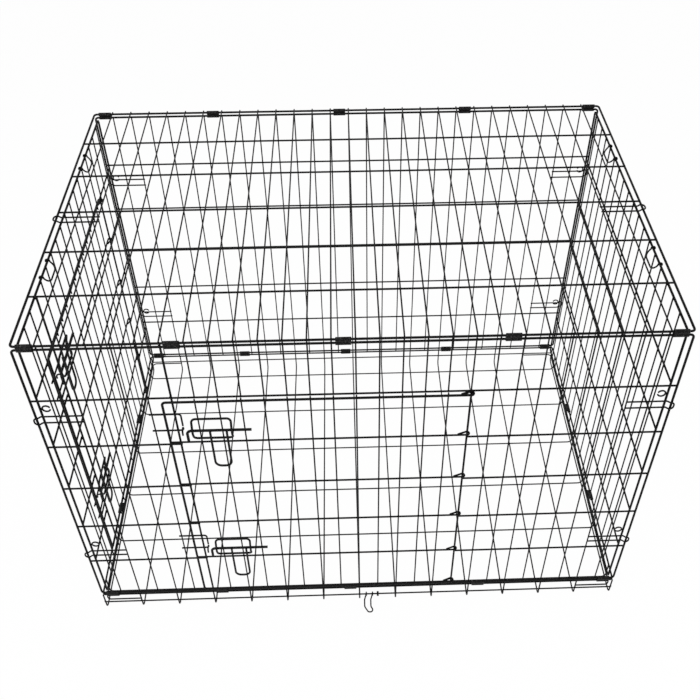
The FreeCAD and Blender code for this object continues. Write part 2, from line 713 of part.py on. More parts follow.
# end panels, hinged on the rim's side wires and clear of the front and back panels
END_WIDE = 2 * layout.end_y
END_TALL = layout.high_z - dim.rim_height
border("left_border", on_left, END_WIDE, END_TALL, X_AXIS)
border("right_border", on_right, END_WIDE, END_TALL, X_AXIS)

END_PITCH = "layout.end_pitch"
END_LEVEL = "layout.end_level"
END_FOOT = "dims.rim_height - dims.border_wire / 2"
END_FULL = "layout.high_z - dims.rim_height + dims.border_wire + dims.overhang"
END_HEADER = "layout.high_z - layout.end_level - dims.cross_wire / 2 - dims.overhang"
END_HEADER_RUN = "layout.end_level + (dims.cross_wire + dims.border_wire) / 2 + 2 * dims.overhang"
END_RUN = "2 * layout.end_y - dims.border_wire"
LEFT_DOOR_SPACES = "dims.left_hinge_spaces - dims.left_latch_spaces"
LEFT_SPACES_BEYOND = "dims.end_spaces - 1 - dims.left_hinge_spaces"
end_upright_x = "layout.end_x - (dims.border_wire + dims.upright_wire) / 2"
end_cross_x = "layout.end_x - (dims.border_wire - dims.cross_wire) / 2"
wire_rows("left_uprights", "upright_wire", UP_IN_Y, (f"-({end_upright_x})", "-layout.end_y", "0"), (
    (END_PITCH, END_FOOT, END_FULL, "dims.left_latch_spaces - 1", END_PITCH),
    (f"{END_PITCH} * (dims.left_latch_spaces + 1)", END_HEADER, END_HEADER_RUN, LEFT_DOOR_SPACES, END_PITCH),
    (f"{END_PITCH} * (dims.left_hinge_spaces + 1)", END_FOOT, END_FULL, LEFT_SPACES_BEYOND, END_PITCH),
))
end_latch = f"{END_PITCH} * dims.left_latch_spaces + dims.post_wire / 2 + dims.overhang"
end_hinge = f"{END_PITCH} * dims.left_hinge_spaces + dims.post_wire / 2"
left_rows = (f"-({end_cross_x})", "-layout.end_y", "dims.rim_height")
wire_rows("left_cross_wires", "cross_wire", ALONG_Y_UP, left_rows, (
    (f"(dims.levels - 1) * {END_LEVEL}", INSIDE, END_RUN, "1", END_LEVEL),
    (END_LEVEL, INSIDE, f"{end_latch} - {INSIDE}", "dims.levels - 2", END_LEVEL),
    (END_LEVEL, end_hinge, f"2 * layout.end_y - {INSIDE} - ({end_hinge})", "dims.levels - 2", END_LEVEL),
))
wire_rows("right_uprights", "upright_wire", UP_IN_Y, (end_upright_x, "-layout.end_y", "0"), (
    (END_PITCH, END_FOOT, END_FULL, "dims.end_spaces - 1", END_PITCH),
))
wire_rows("right_cross_wires", "cross_wire", ALONG_Y_UP, (end_cross_x, "-layout.end_y", "dims.rim_height"), (
    (END_LEVEL, INSIDE, END_RUN, "dims.levels - 1", END_LEVEL),
))
posts("left", on_left, layout.end_pitch, END_LEVEL, dim.left_latch_spaces, dim.left_hinge_spaces, END_FULL)
end_fittings("left", on_left)
end_fittings("right", on_right)

# doors
DOOR_OUT = "layout.door_back - dims.upright_wire / 2"
DOOR_FOOT = "dims.door_lift - dims.door_wire / 2 - dims.overhang"
DOOR_RUN = "{0} * (dims.levels - 1) - dims.door_drop - dims.door_lift + dims.door_wire + 2 * dims.overhang"
wire_rows("front_door_uprights", "upright_wire", UP_IN_X,
          ("-layout.side_x", f"-layout.front_y - ({DOOR_OUT})", "layout.low_z"), (
    (f"{PITCH} * (dims.front_latch_spaces + 1)", DOOR_FOOT, DOOR_RUN.format(LEVEL),
     f"{FRONT_DOOR_SPACES} - 1", PITCH),
))
wire_rows("left_door_uprights", "upright_wire", UP_IN_Y,
          (f"-layout.end_x - ({DOOR_OUT})", "-layout.end_y", "dims.rim_height"), (
    (f"{END_PITCH} * (dims.left_latch_spaces + 1)", DOOR_FOOT, DOOR_RUN.format(END_LEVEL),
     f"{LEFT_DOOR_SPACES} - 1", END_PITCH),
))
UPPER_RUNG = int(dim.levels) - 2
LOWER_RUNG = 1
for side, at, pitch, level, first, last, along_axis, lie in (
    ("front", on_front, layout.pitch, layout.level,
     dim.front_latch_spaces, dim.front_hinge_spaces, X_AXIS, ALONG_X_DOWN),
    ("left", on_left, layout.end_pitch, layout.end_level,
     dim.left_latch_spaces, dim.left_hinge_spaces, Y_AXIS, ALONG_Y_IN_X),
):
    door(f"{side}_door", at, pitch, level, first, last, along_axis)
    keepers = []
    for place, rung in (("upper", UPPER_RUNG), ("lower", LOWER_RUNG)):
        latch(f"{side}_{place}", at, pitch, level, first, rung, along_axis, lie)
        keepers += keeper(f"{side}_{place}", at, pitch, level, first, rung, along_axis)
    gather(f"{side}_keepers", keepers)

# clips between the uprights, five on each long edge and two under each end panel
CLIP_ROOM = f"{PITCH} - dims.upright_wire / 2 / cos(30 deg) - dims.border_bend - dims.clip_length"
CLIP_START = f"dims.border_bend + ({CLIP_ROOM}) / 2"
CLIP_LAST = f"2 * layout.side_x - dims.clip_length - ({CLIP_START})"
CLIP_MIDDLE = f"{PITCH} * (dims.front_spaces / 2 - 1 / 2 - dims.clip_spaces) - dims.clip_length / 2"
EDGE = (
    (CLIP_START, "1", "0"),
    (CLIP_MIDDLE, "3", f"{PITCH} * dims.clip_spaces"),
    (CLIP_LAST, "1", "0"),
)
for label, side, lower in (
    ("top_front_clips", "-layout.front_y", "layout.high_z"),
    ("top_back_clips", "layout.front_y", "layout.high_z"),
    ("base_front_clips", "-layout.front_y", "dims.rim_height"),
    ("base_back_clips", "layout.front_y", "dims.rim_height"),
):
    clips(label, ALONG_X_STACKED, ("-layout.side_x", side, lower), octagon_slot, EDGE)
END_START = f"{END_PITCH} * (dims.end_spaces - dims.end_clip_spaces) / 2 - dims.clip_length / 2"
END_EDGE = ((END_START, "2", f"{END_PITCH} * dims.end_clip_spaces"),)
for label, lower_x in (("left_hinge_clips", "-layout.side_x"), ("right_hinge_clips", "layout.end_x")):
    clips(label, ALONG_Y_IN_X, (lower_x, "-layout.end_y", "dims.rim_height"), round_slot, END_EDGE)

# pan stop: a loop with two eyes on the tray's front wire, and a collar beside it
stop_reach = dim.floor_wire / 2 + dim.running_gap + dim.stop_wire / 2


def stop_leg(x):
    """Leg of the pan stop: the eye's free end, round the front wire, then bowed forward and down."""
    pivot = Vector(x, -guard_y, dim.guard_height)

    def polar(radius, degrees):
        angle = math.radians(degrees)
        return pivot + Vector(0, -radius * math.cos(angle), radius * math.sin(angle))

    points = [polar(stop_reach, -45)]
    for step in range(6):
        points.append(polar(stop_reach / math.cos(math.pi / 8), -67.5 - 45 * step))
    away = Vector(0, -1, -1).normalize() * dim.stop_length
    for part, aside in ((0.3, -dim.stop_bow), (0.7, -dim.stop_bow), (1, dim.stop_lip)):
        points.append(polar(stop_reach, 45) + away * part + X_AXIS * aside)
    return points


near_leg = stop_leg(dim.stop_place)
far_leg = stop_leg(dim.stop_place + dim.stop_width)
stop_points = near_leg + far_leg[::-1]
bowed = [dim.stop_curve] * 2
stop_bends = [0] * 6 + bowed + [dim.stop_bend] * 2 + bowed + [0] * 6
node(bent_wire("pan_stop", "stop_wire", stop_points, X_AXIS, stop_bends), "pan_stop")

collar_x = dim.stop_place + dim.stop_width + dim.collar_gap
sleeve = doc.addObject("Part::Cylinder", "collar_sleeve")
sleeve.setExpression("Radius", "dims.collar_size / 2")
sleeve.setExpression("Height", "dims.collar_width")
bore = doc.addObject("Part::Cylinder", "collar_bore")
bore.setExpression("Radius", "dims.floor_wire / 2 + dims.running_gap / 3")
bore.setExpression("Height", "dims.collar_width")
for cylinder in (sleeve, bore):
    cylinder.Placement = Placement(Vector(collar_x, -guard_y, dim.guard_height), ALONG_X_DOWN)
collar = doc.addObject("Part::Cut", "pan_stop_collar")
collar.Base = sleeve
collar.Tool = bore
node(collar, "pan_stop_collar")

doc.recompute()
faults = []
for item in doc.Objects:
    if "Invalid" in item.State or "Error" in item.State:
        faults.append(f"{item.Label}: {item.State}")
for part in nodes:
    if part.Shape.isNull() or not part.Shape.isValid() or not part.Shape.Solids:
        faults.append(f"{part.Label}: no valid solid")
if faults:
    raise RuntimeError("; ".join(faults))
for part in nodes:
    part.Shape.exportStep(f"parts/{part.Label}.step")
    box = part.Shape.BoundBox
    print(f"{part.Label}: {len(part.Shape.Solids)} solids, {part.Shape.Volume / 1000:.1f} cm3, "
          f"x {box.XMin:.1f} to {box.XMax:.1f}, y {box.YMin:.1f} to {box.YMax:.1f}, "
          f"z {box.ZMin:.1f} to {box.ZMax:.1f}")
print(len(nodes), "nodes")
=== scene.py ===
"""Folding wire dog crate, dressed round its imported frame.

Round coated wires, weld beads and folded clips stand for the faceted solids. Lengths are in metres,
+X runs along the long side, -Y is the front and +Z is up.
"""

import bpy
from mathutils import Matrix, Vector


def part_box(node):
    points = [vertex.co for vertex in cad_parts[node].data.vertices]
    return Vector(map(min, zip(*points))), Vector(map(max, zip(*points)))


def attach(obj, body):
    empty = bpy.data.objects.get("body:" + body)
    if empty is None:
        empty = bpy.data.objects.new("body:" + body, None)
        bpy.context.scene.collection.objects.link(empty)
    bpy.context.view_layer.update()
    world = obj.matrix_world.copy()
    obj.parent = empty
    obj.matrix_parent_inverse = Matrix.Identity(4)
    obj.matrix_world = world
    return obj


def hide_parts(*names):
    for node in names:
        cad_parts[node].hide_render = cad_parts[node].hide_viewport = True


bl_info = {
    "name": "Folding Wire Crate",
    "version": (1, 0, 0),
    "blender": (4, 5, 0),
    "location": "3D View > Sidebar > Crate",
    "description": "Builds the wires, welds, clips and stage of a folding wire crate",
    "category": "Add Mesh",
}

import math
from collections import namedtuple
from types import SimpleNamespace

import bmesh
import bpy
from bpy.props import FloatProperty, FloatVectorProperty, IntProperty, PointerProperty
from bpy.types import NodeSocket, Operator, Panel, PropertyGroup
from mathutils import Euler, Matrix, Vector

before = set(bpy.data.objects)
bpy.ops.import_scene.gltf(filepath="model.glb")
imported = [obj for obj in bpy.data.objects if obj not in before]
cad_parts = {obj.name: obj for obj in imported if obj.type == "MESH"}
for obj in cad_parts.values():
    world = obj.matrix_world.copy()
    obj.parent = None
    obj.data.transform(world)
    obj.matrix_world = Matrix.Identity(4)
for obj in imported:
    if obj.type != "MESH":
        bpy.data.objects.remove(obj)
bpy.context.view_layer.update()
X, Y, Z = Vector((1, 0, 0)), Vector((0, 1, 0)), Vector((0, 0, 1))
NOWHERE = Vector((0, 0, 0))
DOOR_SIDES = ("front", "left")

# Width across its corners of a section that is 1 wide across its flats
HEXAGON = 1 / math.cos(math.pi / 6)
OCTAGON = 1 / math.cos(math.pi / 8)
# Half a side of the octagon round a circle of radius 1
HALF_SIDE = math.tan(math.pi / 8)
# Bends of a round curl take nearly all of their sides, so that they never overlap
FULL_BEND = 0.999

# How finely eyes, rings, beads, clips and the collar are drawn
EYE_CORNERS, RING_POINTS = 4, 25
BEAD_SEGMENTS, BEAD_RINGS = 8, 4
CLIP_FOLD_STEPS, CLIP_FLAT_STEPS = 10, 8
COLLAR_STEPS = 32
# A hinge eye ends in front of its post, a quarter past a full turn
EYE_END = 2.5 * math.pi
# The pan stop's curl, in eighths of a turn, and where along its legs they are bowed
STOP_CURL_EIGHTHS = 6
STOP_BOWED_AT = (0.3, 0.7)
# Spread of the weld beads' sizes, and larger beads on grips and latch posts
BEAD_LEAST, BEAD_MOST = 0.86, 1.14
GRIP_BEAD, POST_BEAD = 1.2, 1.3
# Clips in the middle row of an edge, their softened edges and worn ends in sheets, and the bevel's fullness
MIDDLE_CLIPS = 3
CLIP_SOFT, CLIP_WORN = 0.22, 2
CLIP_PROFILE = 0.6
# The collar's softened corners, as a share of half its length
COLLAR_SOFT = 0.25
# Angles from which an edge is softened or drawn sharp
SOFTENED_FROM, SHARP_FROM = math.radians(60), math.radians(50)
SAME_POINT = 1e-6

# Noise in the coating: waves to the metre, detail, roughness, and the span of its values that counts
Pattern = namedtuple("Pattern", "waves detail roughness low high", defaults=(0.5, 0.0, 1.0))
TONE = Pattern(24, 3, low=0.3, high=0.7)
PEEL = Pattern(750, 2)
PITS = Pattern(2600, 1)
CHIPS = Pattern(210, 4, 0.62)
DUST = Pattern(60, 4, 0.6, 0.35, 0.75)
STREAKS = Pattern(1, 3, 0.6, 0.52, 0.74)
PATCHES = Pattern(48, 2, 0.5, 0.42, 0.66)
EDGES = Pattern(420, 3, 0.6, 0.5, 0.68)
# Upward part of the normal on which dust settles, and the most that the coat fades
FACING_UP = (0.1, 0.95)
FADED_MOST = 0.35
# What tone, dust and rubbing do to the roughness
TONE_ROUGHNESS = (-0.06, 0.08)
DUST_ROUGHNESS = 0.5
RUB_POLISH = 0.08
# Noise value at which chips begin, what the setting adds to it, and the width of a chip's edge
CHIP_START, CHIP_SPREAD, CHIP_EDGE = 0.8, -0.2, 0.025
# Pits and chips against the orange peel, and its depth in metres
PIT_HEIGHT, CHIP_DEPTH, PEEL_DEPTH = 0.35, 0.6, 0.0002

# Coat: roughness, strength of the orange peel, share of the chips, streaks to the metre and worn edges
Coat = namedtuple("Coat", "name colour roughness peel chips streaks worn_edges", defaults=(None, False))
COATS = (
    Coat("wire_coat", "coat", 0.40, 0.35, 1.0),
    Coat("weld_coat", "coat", 0.46, 0.6, 1.0),
    Coat("clip_coat", "clip", 0.36, 0.25, 0.5, worn_edges=True),
    Coat("front_latch_coat", "coat", 0.36, 0.3, 1.0, (30, 900, 900)),
    Coat("left_latch_coat", "coat", 0.36, 0.3, 1.0, (900, 30, 900)),
)

WHITE = (1, 1, 1, 1)
FLOOR_HALF = 40
Lamp = namedtuple("Lamp", "name power place size")
LAMPS = (Lamp("key_lamp", "key", (-1.6, -2.2, 3.0), 2.4), Lamp("fill_lamp", "fill", (2.6, -0.8, 2.2), 2.0))


def thickness(node, axis):
    """Size of a CAD node along one axis."""
    low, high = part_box(node)
    return high[axis] - low[axis]


def box_middle(node):
    """Middle of a CAD node's box."""
    low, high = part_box(node)
    return (low + high) / 2


def length(name, description, default):
    """Setting for a length in metres."""
    return FloatProperty(name=name, description=description, default=default, min=0, precision=4,
                         subtype="DISTANCE", unit="LENGTH")


def number(name, description, default):
    """Setting for a count."""
    return IntProperty(name=name, description=description, default=default, min=0)


def share(name, description, default):
    """Setting for a share from 0 to 1."""
    return FloatProperty(name=name, description=description, default=default, min=0, max=1,
                         subtype="FACTOR")


def strength(name, description, default, unit="NONE"):
    """Setting for a strength, a power or a lens."""
    return FloatProperty(name=name, description=description, default=default, min=0, unit=unit)


def tint(name, description, default):
    """Setting for a colour."""
    return FloatVectorProperty(name=name, description=description, default=default, size=3, min=0, max=1,
                               subtype="COLOR")


def turn(name, description, degrees):
    """Setting for an angle, given in degrees."""
    return FloatProperty(name=name, description=description, default=math.radians(degrees),
                         subtype="ANGLE", unit="ROTATION")


class WireSizes(PropertyGroup):
    """Wire diameters, and how finely the wires are drawn."""
    border: length("Border", "Wire round each panel and the rim", thickness("front_border", 1))
    upright: length("Upright", "Close-set wires of a panel", thickness("front_uprights", 1))
    cross: length("Cross wire", "Wide-set wires of a panel", thickness("front_cross_wires", 1))
    floor: length("Floor", "Wires of the tray", thickness("base_front_wire", 2))
    post: length("Post", "Wires that carry a door's hinge and latches", 0.0038)
    door: length("Door", "Wire round a door", 0.0038)
    hook: length("Hook", "Wire of hooks, rings and loops", 0.003)
    keeper: length("Keeper", "Wires that take a bolt", 0.0032)
    guide: length("Guide", "Wire that holds a bolt on its door", 0.004)
    bolt: length("Bolt", "Round bolt of a latch", thickness("front_upper_bolt", 2))
    handle: length("Handle", "Wire loop that works a bolt", 0.0035)
    stop: length("Pan stop", "Wire loop on the tray's front wire", 0.0028)
    sides: number("Sides", "Faces round a wire", 12)
    bend_steps: number("Bend steps", "Points along a bend", 7)
    nib: share("Nib", "Length of a wire's rounded end, as a share of its diameter", 0.16)
    nib_size: share("Nib size", "How much narrower a wire's end face is", 0.34)


class PanelLayout(PropertyGroup):
    """Counts and laps of the panels' wires."""
    spaces: number("Spaces", "Spaces between uprights on a long panel", 28)
    end_spaces: number("End spaces", "Spaces between uprights on an end panel", 18)
    levels: number("Levels", "Spaces between cross wires", 6)
    overhang: length("Overhang", "Wire left over past a weld", 0.0015)
    border_bend: length("Border bend", "Radius of a panel's corners", 0.006)
    floor_rows: number("Floor rows", "Long wires on the tray's floor", 6)
    floor_pitch: length("Floor pitch", "Distance between the tray's long wires", 0.127)
    floor_bend: length("Floor bend", "Radius where a floor wire turns up", 0.009)
    guard_lap: length("Guard lap", "Length of a side guard along the front and back", 0.075)
    gap: length("Running gap", "Room between moving pieces", 0.0003)


class DoorSizes(PropertyGroup):
    """Doors and their latches. A post is counted in spaces from the panel's edge."""
    front_latch: number("Front latch post", "Spaces to the front door's latch post", 6)
    front_hinge: number("Front hinge post", "Spaces to the front door's hinge post", 19)
    left_latch: number("Left latch post", "Spaces to the left door's latch post", 3)
    left_hinge: number("Left hinge post", "Spaces to the left door's hinge post", 15)
    lap: length("Lap", "Door past its latch post", 0.015)
    lift: length("Lift", "Door's lowest wire above the panel's border", 0.0095)
    drop: length("Drop", "Door's highest wire below the header wire", 0.006)
    bend: length("Bend", "Radius of the door's free corners", 0.006)
    eye_length: length("Eye length", "Hinge eye's return leg", 0.016)
    bolt_rise: length("Bolt rise", "Bolt above its rung", 0.0305)
    bolt_length: length("Bolt length", "Bolt from its bent tip to its end", 0.109)
    throw: length("Throw", "Travel of a bolt", 0.024)
    tip_bend: length("Tip bend", "Radius of a bolt's bent tip", 0.008)
    tip_drop: length("Tip drop", "Length of a bolt's bent tip", 0.025)
    tip_play: length("Tip play", "Room between a bolt's tip and its keeper", 0.002)
    guide_width: length("Guide width", "Length of a guide along its bolt", 0.066)
    guide_rise: length("Guide rise", "Guide above its bolt", 0.028)
    guide_fall: length("Guide fall", "Guide below its bolt", 0.020)
    guide_bend: length("Guide bend", "Radius of a guide's corners", 0.007)
    handle_width: length("Handle width", "Handle along its bolt", 0.028)
    handle_drop: length("Handle drop", "Handle below its bolt", 0.088)
    handle_top: length("Handle top", "Handle above its bolt", 0.0035)
    handle_bend: length("Handle bend", "Radius of a handle's corners", 0.011)
    handle_offset: length("Handle offset", "Handle's first leg before its upright", 0.0058)
    handle_play: length("Handle play", "Room between a handle and its guide", 0.001)
    keeper_reach: length("Keeper reach", "Keeper past its latch post", 0.0104)
    keeper_rise: length("Keeper rise", "Keeper's upper bar above the bolt", 0.036)
    keeper_fall: length("Keeper fall", "Keeper's lower bar below the bolt", 0.004)
    keeper_bend: length("Keeper bend", "Radius of a keeper's corners", 0.005)
    keeper_tail: length("Keeper tail", "Keeper past its second upright", 0.004)


class FittingSizes(PropertyGroup):
    """Clips, hooks, rings, loops, the pan stop and the weld beads."""
    clip_length: length("Clip length", "Length of a folded clip", 0.025)
    clip_sheet: length("Clip sheet", "Thickness of a clip's sheet", 0.0012)
    clip_gap: length("Clip gap", "Room between a clip and its wires", 0.0006)
    clip_pinch: length("Clip pinch", "How far a clip is pressed in between its wires", 0.0008)
    clip_seam: length("Clip seam", "Gap between a clip's two edges", 0.0014)
    clip_spaces: number("Clip spaces", "Spaces between the clips of a long edge", 7)
    hook_spaces: number("Hook spaces", "Spaces that a hook's legs reach", 2)
    hook_width: length("Hook width", "Distance between a hook's legs", 0.015)
    hook_jog: length("Hook jog", "Length over which a hook's legs rise", 0.005)
    hook_bend: length("Hook bend", "Radius of the jog in a hook's legs", 0.0027)
    hook_round: length("Hook round", "Radius of a hook's closed end", 0.006)
    hook_upper: length("Upper hook", "Upper hooks above the panel's foot", 0.5399)
    hook_lower: length("Lower hook", "Lower hooks above the panel's foot", 0.150)
    hook_middle: length("Top hook", "Top panel's hooks from the front", 0.338)
    ring_radius: length("Ring radius", "Hook rings of an end panel", 0.0065)
    ring_turn: turn("Ring turn", "How far round a hook ring is bent", 315)
    ring_rise: length("Ring rise", "Hook rings above their hooks", 0.010)
    loop_width: length("Loop width", "Finger loops under an end panel's top", 0.046)
    loop_depth: length("Loop depth", "Reach of a finger loop inwards and down", 0.012)
    loop_bend: length("Loop bend", "Radius of a loop's corners", 0.011)
    loop_front: length("Front loop", "Place of the front loop", 0.190)
    loop_back: length("Back loop", "Place of the back loop", 0.525)
    stop_place: length("Stop place", "Pan stop's first leg from the middle", 0.014)
    stop_width: length("Stop width", "Distance between the pan stop's legs", 0.013)
    stop_length: length("Stop length", "Pan stop's reach", 0.037)
    stop_bow: length("Stop bow", "How far the pan stop's legs are bowed", 0.004)
    stop_lip: length("Stop lip", "How far the pan stop's end is turned back", 0.0035)
    stop_curve: length("Stop curve", "Radius of the pan stop's bowed legs", 0.009)
    stop_bend: length("Stop bend", "Radius of the pan stop's end", 0.0045)
    bead: length("Weld bead", "Radius of a weld bead", 0.002)
    bead_depth: length("Weld bead depth", "Half the thickness of a weld bead", 0.0011)


class CoatFinish(PropertyGroup):
    """Colours and wear of the coating."""
    coat: tint("Coat", "Black coating of the wires", (0.0025, 0.0025, 0.0026))
    clip: tint("Clip coat", "Coating of the folded clips", (0.003, 0.003, 0.0032))
    faded: tint("Faded coat", "Paler patches of the coating", (0.007, 0.007, 0.0073))
    steel: tint("Steel", "Bare steel under worn coating", (0.23, 0.225, 0.22))
    dust_tint: tint("Dust colour", "Dust that settles on the wires", (0.42, 0.40, 0.37))
    dust: share("Dust", "Dust on what faces up", 0.008)
    bare: share("Bare spots", "Chipped spots in the coating", 0.12)
    rubbed: share("Rubbed", "Coating rubbed thin on edges and what slides", 0.2)
    gloss: share("Gloss", "Specular level of the coating", 0.06)


class StageSettings(PropertyGroup):
    """Floor, lamps and camera."""
    floor: tint("Floor", "Colour of the floor", (0.94, 0.94, 0.94))
    glow: share("Floor glow", "Share of plain white in the floor that the camera sees", 0.97)
    white: strength("White", "Strength of the plain white", 1.0)
    azimuth: turn("Azimuth", "Camera's turn to the right of the front", 1.95)
    elevation: turn("Elevation", "Camera's angle above the floor", 43.73)
    distance: length("Distance", "Camera from its target", 1.9156)
    target: FloatVectorProperty(name="Target", description="Point the camera is set up about",
                                default=(0.036, 0.0, 0.3947), subtype="TRANSLATION", unit="LENGTH")
    lens: strength("Lens", "Focal length in millimetres", 46.77, "CAMERA")
    shift: FloatProperty(name="Shift", description="Sideways framing shift of the lens", default=-0.03)
    key: strength("Key lamp", "Power of the large lamp", 76, "POWER")
    fill: strength("Fill lamp", "Power of the second lamp", 32, "POWER")
    sky: strength("Sky", "Strength of the light from all round", 0.5)


class CrateSettings(PropertyGroup):
    """All settings of the crate."""
    wires: PointerProperty(type=WireSizes)
    panels: PointerProperty(type=PanelLayout)
    doors: PointerProperty(type=DoorSizes)
    fittings: PointerProperty(type=FittingSizes)
    finish: PointerProperty(type=CoatFinish)
    stage: PointerProperty(type=StageSettings)


class Face(namedtuple("Face", "start along out up")):
    """Panel frame: its first corner and the directions along, out of and up the panel."""

    def at(self, along, out, up):
        """Point at three distances from the first corner."""
        return self.start + along * self.along + out * self.out + up * self.up


class Run(namedtuple("Run", "points bends closed blunt", defaults=(False, (False, False)))):
    """Wire through points, with the radius of its bend at each. A blunt end isn't rounded off."""


def run_on(face, corners, closed=False, blunt=(False, False)):
    """Wire through corners on a face, each given as along, out, up and, if it is bent, its radius."""
    points = [face.at(*corner[:3]) for corner in corners]
    bends = [corner[3] if len(corner) > 3 else 0 for corner in corners]
    return Run(points, bends, closed, blunt)


def crate_plan(crate):
    """Planes, spacings, faces and walls worked out from the frame and the settings."""
    wires, panels, doors = crate.wires, crate.panels, crate.doors
    half, over = wires.border / 2, panels.overhang
    low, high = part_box("front_border")
    side_x, front_y = high.x - half, -low.y - half
    low_z, high_z = low.z + half, high.z - half
    top_z, rim_z = box_middle("top_border").z, box_middle("base_rim").z
    end_x, end_y = box_middle("right_border").x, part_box("right_border")[1].y - half

    def wall(face, wide, tall, spaces, body, below, above, latch=0, hinge=0, side=-1):
        """Face, sizes and spacings of one panel."""
        return SimpleNamespace(face=face, wide=wide, tall=tall, spaces=spaces, body=body,
                               foot=-half - below, head=tall + half + above,
                               pitch=wide / spaces, level=tall / panels.levels,
                               latch=latch, hinge=hinge, side=side)

    walls = {
        "front": wall(Face(Vector((-side_x, -front_y, low_z)), X, -Y, Z), 2 * side_x, high_z - low_z,
                      panels.spaces, "frame", over, over, doors.front_latch, doors.front_hinge),
        "back": wall(Face(Vector((-side_x, front_y, low_z)), X, Y, Z), 2 * side_x, high_z - low_z,
                     panels.spaces, "frame", over, over),
        "top": wall(Face(Vector((-side_x, -front_y, top_z)), X, Z, Y), 2 * side_x, 2 * front_y,
                    panels.spaces, "frame", 0, 0, side=1),
        "left": wall(Face(Vector((-end_x, -end_y, rim_z)), Y, -X, Z), 2 * end_y, high_z - rim_z,
                     panels.end_spaces, "left_end", 0, over, doors.left_latch, doors.left_hinge),
        "right": wall(Face(Vector((end_x, -end_y, rim_z)), Y, X, Z), 2 * end_y, high_z - rim_z,
                      panels.end_spaces, "right_end", 0, over),
    }
    return SimpleNamespace(
        walls=walls, side_x=side_x, front_y=front_y, end_x=end_x, rim_z=rim_z, high_z=high_z,
        rim=Face(Vector((-side_x, -front_y, rim_z)), X, Z, Y), guard_z=box_middle("base_front_wire").z,
        floor_first=-(panels.floor_rows - 1) / 2 * panels.floor_pitch,
        floor_step=4 * side_x / panels.spaces,
        door_back=wires.post / 2 + panels.gap, bolt_out=-box_middle("front_upper_bolt").y - front_y)


def crate_and_plan(context):
    """Settings of the scene's crate, and the plan worked out from them."""
    crate = context.scene.crate
    return crate, crate_plan(crate)


def add_node(tree, kind, inputs=(), **settings):
    """Add a node, set its properties, and link or set its inputs by name or place."""
    node = tree.nodes.new(kind)
    for key, value in settings.items():
        setattr(node, key, value)
    for socket, value in dict(inputs).items():
        if isinstance(value, NodeSocket):
            tree.links.new(value, node.inputs[socket])
        else:
            node.inputs[socket].default_value = value
    return node


def calculate(tree, operation, *values):
    """Result of one sum."""
    return add_node(tree, "ShaderNodeMath", dict(enumerate(values)), operation=operation).outputs[0]


def new_group(name, kind, inputs, outputs):
    """Node group with named inputs and outputs, and its inputs' sockets."""
    group = bpy.data.node_groups.new(name, f"{kind}NodeTree")
    for way, sockets in (("INPUT", inputs), ("OUTPUT", outputs)):
        for label, socket in sockets:
            group.interface.new_socket(label, in_out=way, socket_type=f"NodeSocket{socket}")
    return group, group.nodes.new("NodeGroupInput").outputs


def new_tree(name, inputs):
    """Geometry node tree with named inputs."""
    geometry = ("Geometry", "Geometry")
    return new_group(name, "Geometry", (geometry, *inputs), (geometry,))


def end_tree(tree, geometry, material):
    """Close a tree with real geometry and its material."""
    real = add_node(tree, "GeometryNodeRealizeInstances", {"Geometry": geometry})
    smooth = add_node(tree, "GeometryNodeSetShadeSmooth", {0: real.outputs[0]})
    painted = add_node(tree, "GeometryNodeSetMaterial", {
        "Geometry": smooth.outputs[0], "Material": material})
    add_node(tree, "NodeGroupOutput", {"Geometry": painted.outputs[0]})
    return tree


def repeated(tree, geometry, count, step):
    """Copies of a geometry, one step apart."""
    line = add_node(tree, "GeometryNodeMeshLine", {"Count": count, "Offset": step})
    copies = add_node(tree, "GeometryNodeInstanceOnPoints", {
        "Points": line.outputs[0], "Instance": geometry})
    return add_node(tree, "GeometryNodeRealizeInstances", {"Geometry": copies.outputs[0]}).outputs[0]


def wire_tree(name):
    """Round wires along the guide's edges, with bends and rounded ends, repeated in a row."""
    tree, given = new_tree(name, (
        ("Wire", "Float"), ("Sides", "Int"), ("Bend Steps", "Int"), ("Nib Size", "Float"),
        ("Count", "Int"), ("Step", "Vector"), ("Material", "Material")))
    bend = add_node(tree, "GeometryNodeInputNamedAttribute", {"Name": "bend"}, data_type="FLOAT")
    end = add_node(tree, "GeometryNodeInputNamedAttribute", {"Name": "end"}, data_type="FLOAT")
    line = add_node(tree, "GeometryNodeMeshToCurve", {"Mesh": given["Geometry"]})
    bent = add_node(tree, "GeometryNodeFilletCurve", {
        "Curve": line.outputs[0], "Count": given["Bend Steps"], "Radius": bend.outputs[0],
        "Limit Radius": True}, mode="POLY")
    size = calculate(tree, "SUBTRACT", 1.0, calculate(tree, "MULTIPLY", end.outputs[0], given["Nib Size"]))
    sized = add_node(tree, "GeometryNodeSetCurveRadius", {"Curve": bent.outputs[0], "Radius": size})
    section = add_node(tree, "GeometryNodeCurvePrimitiveCircle", {
        "Resolution": given["Sides"], "Radius": calculate(tree, "MULTIPLY", given["Wire"], 0.5)},
        mode="RADIUS")
    tube = add_node(tree, "GeometryNodeCurveToMesh", {
        "Curve": sized.outputs[0], "Profile Curve": section.outputs[0], "Fill Caps": True})
    row = repeated(tree, tube.outputs[0], given["Count"], given["Step"])
    return end_tree(tree, row, given["Material"])


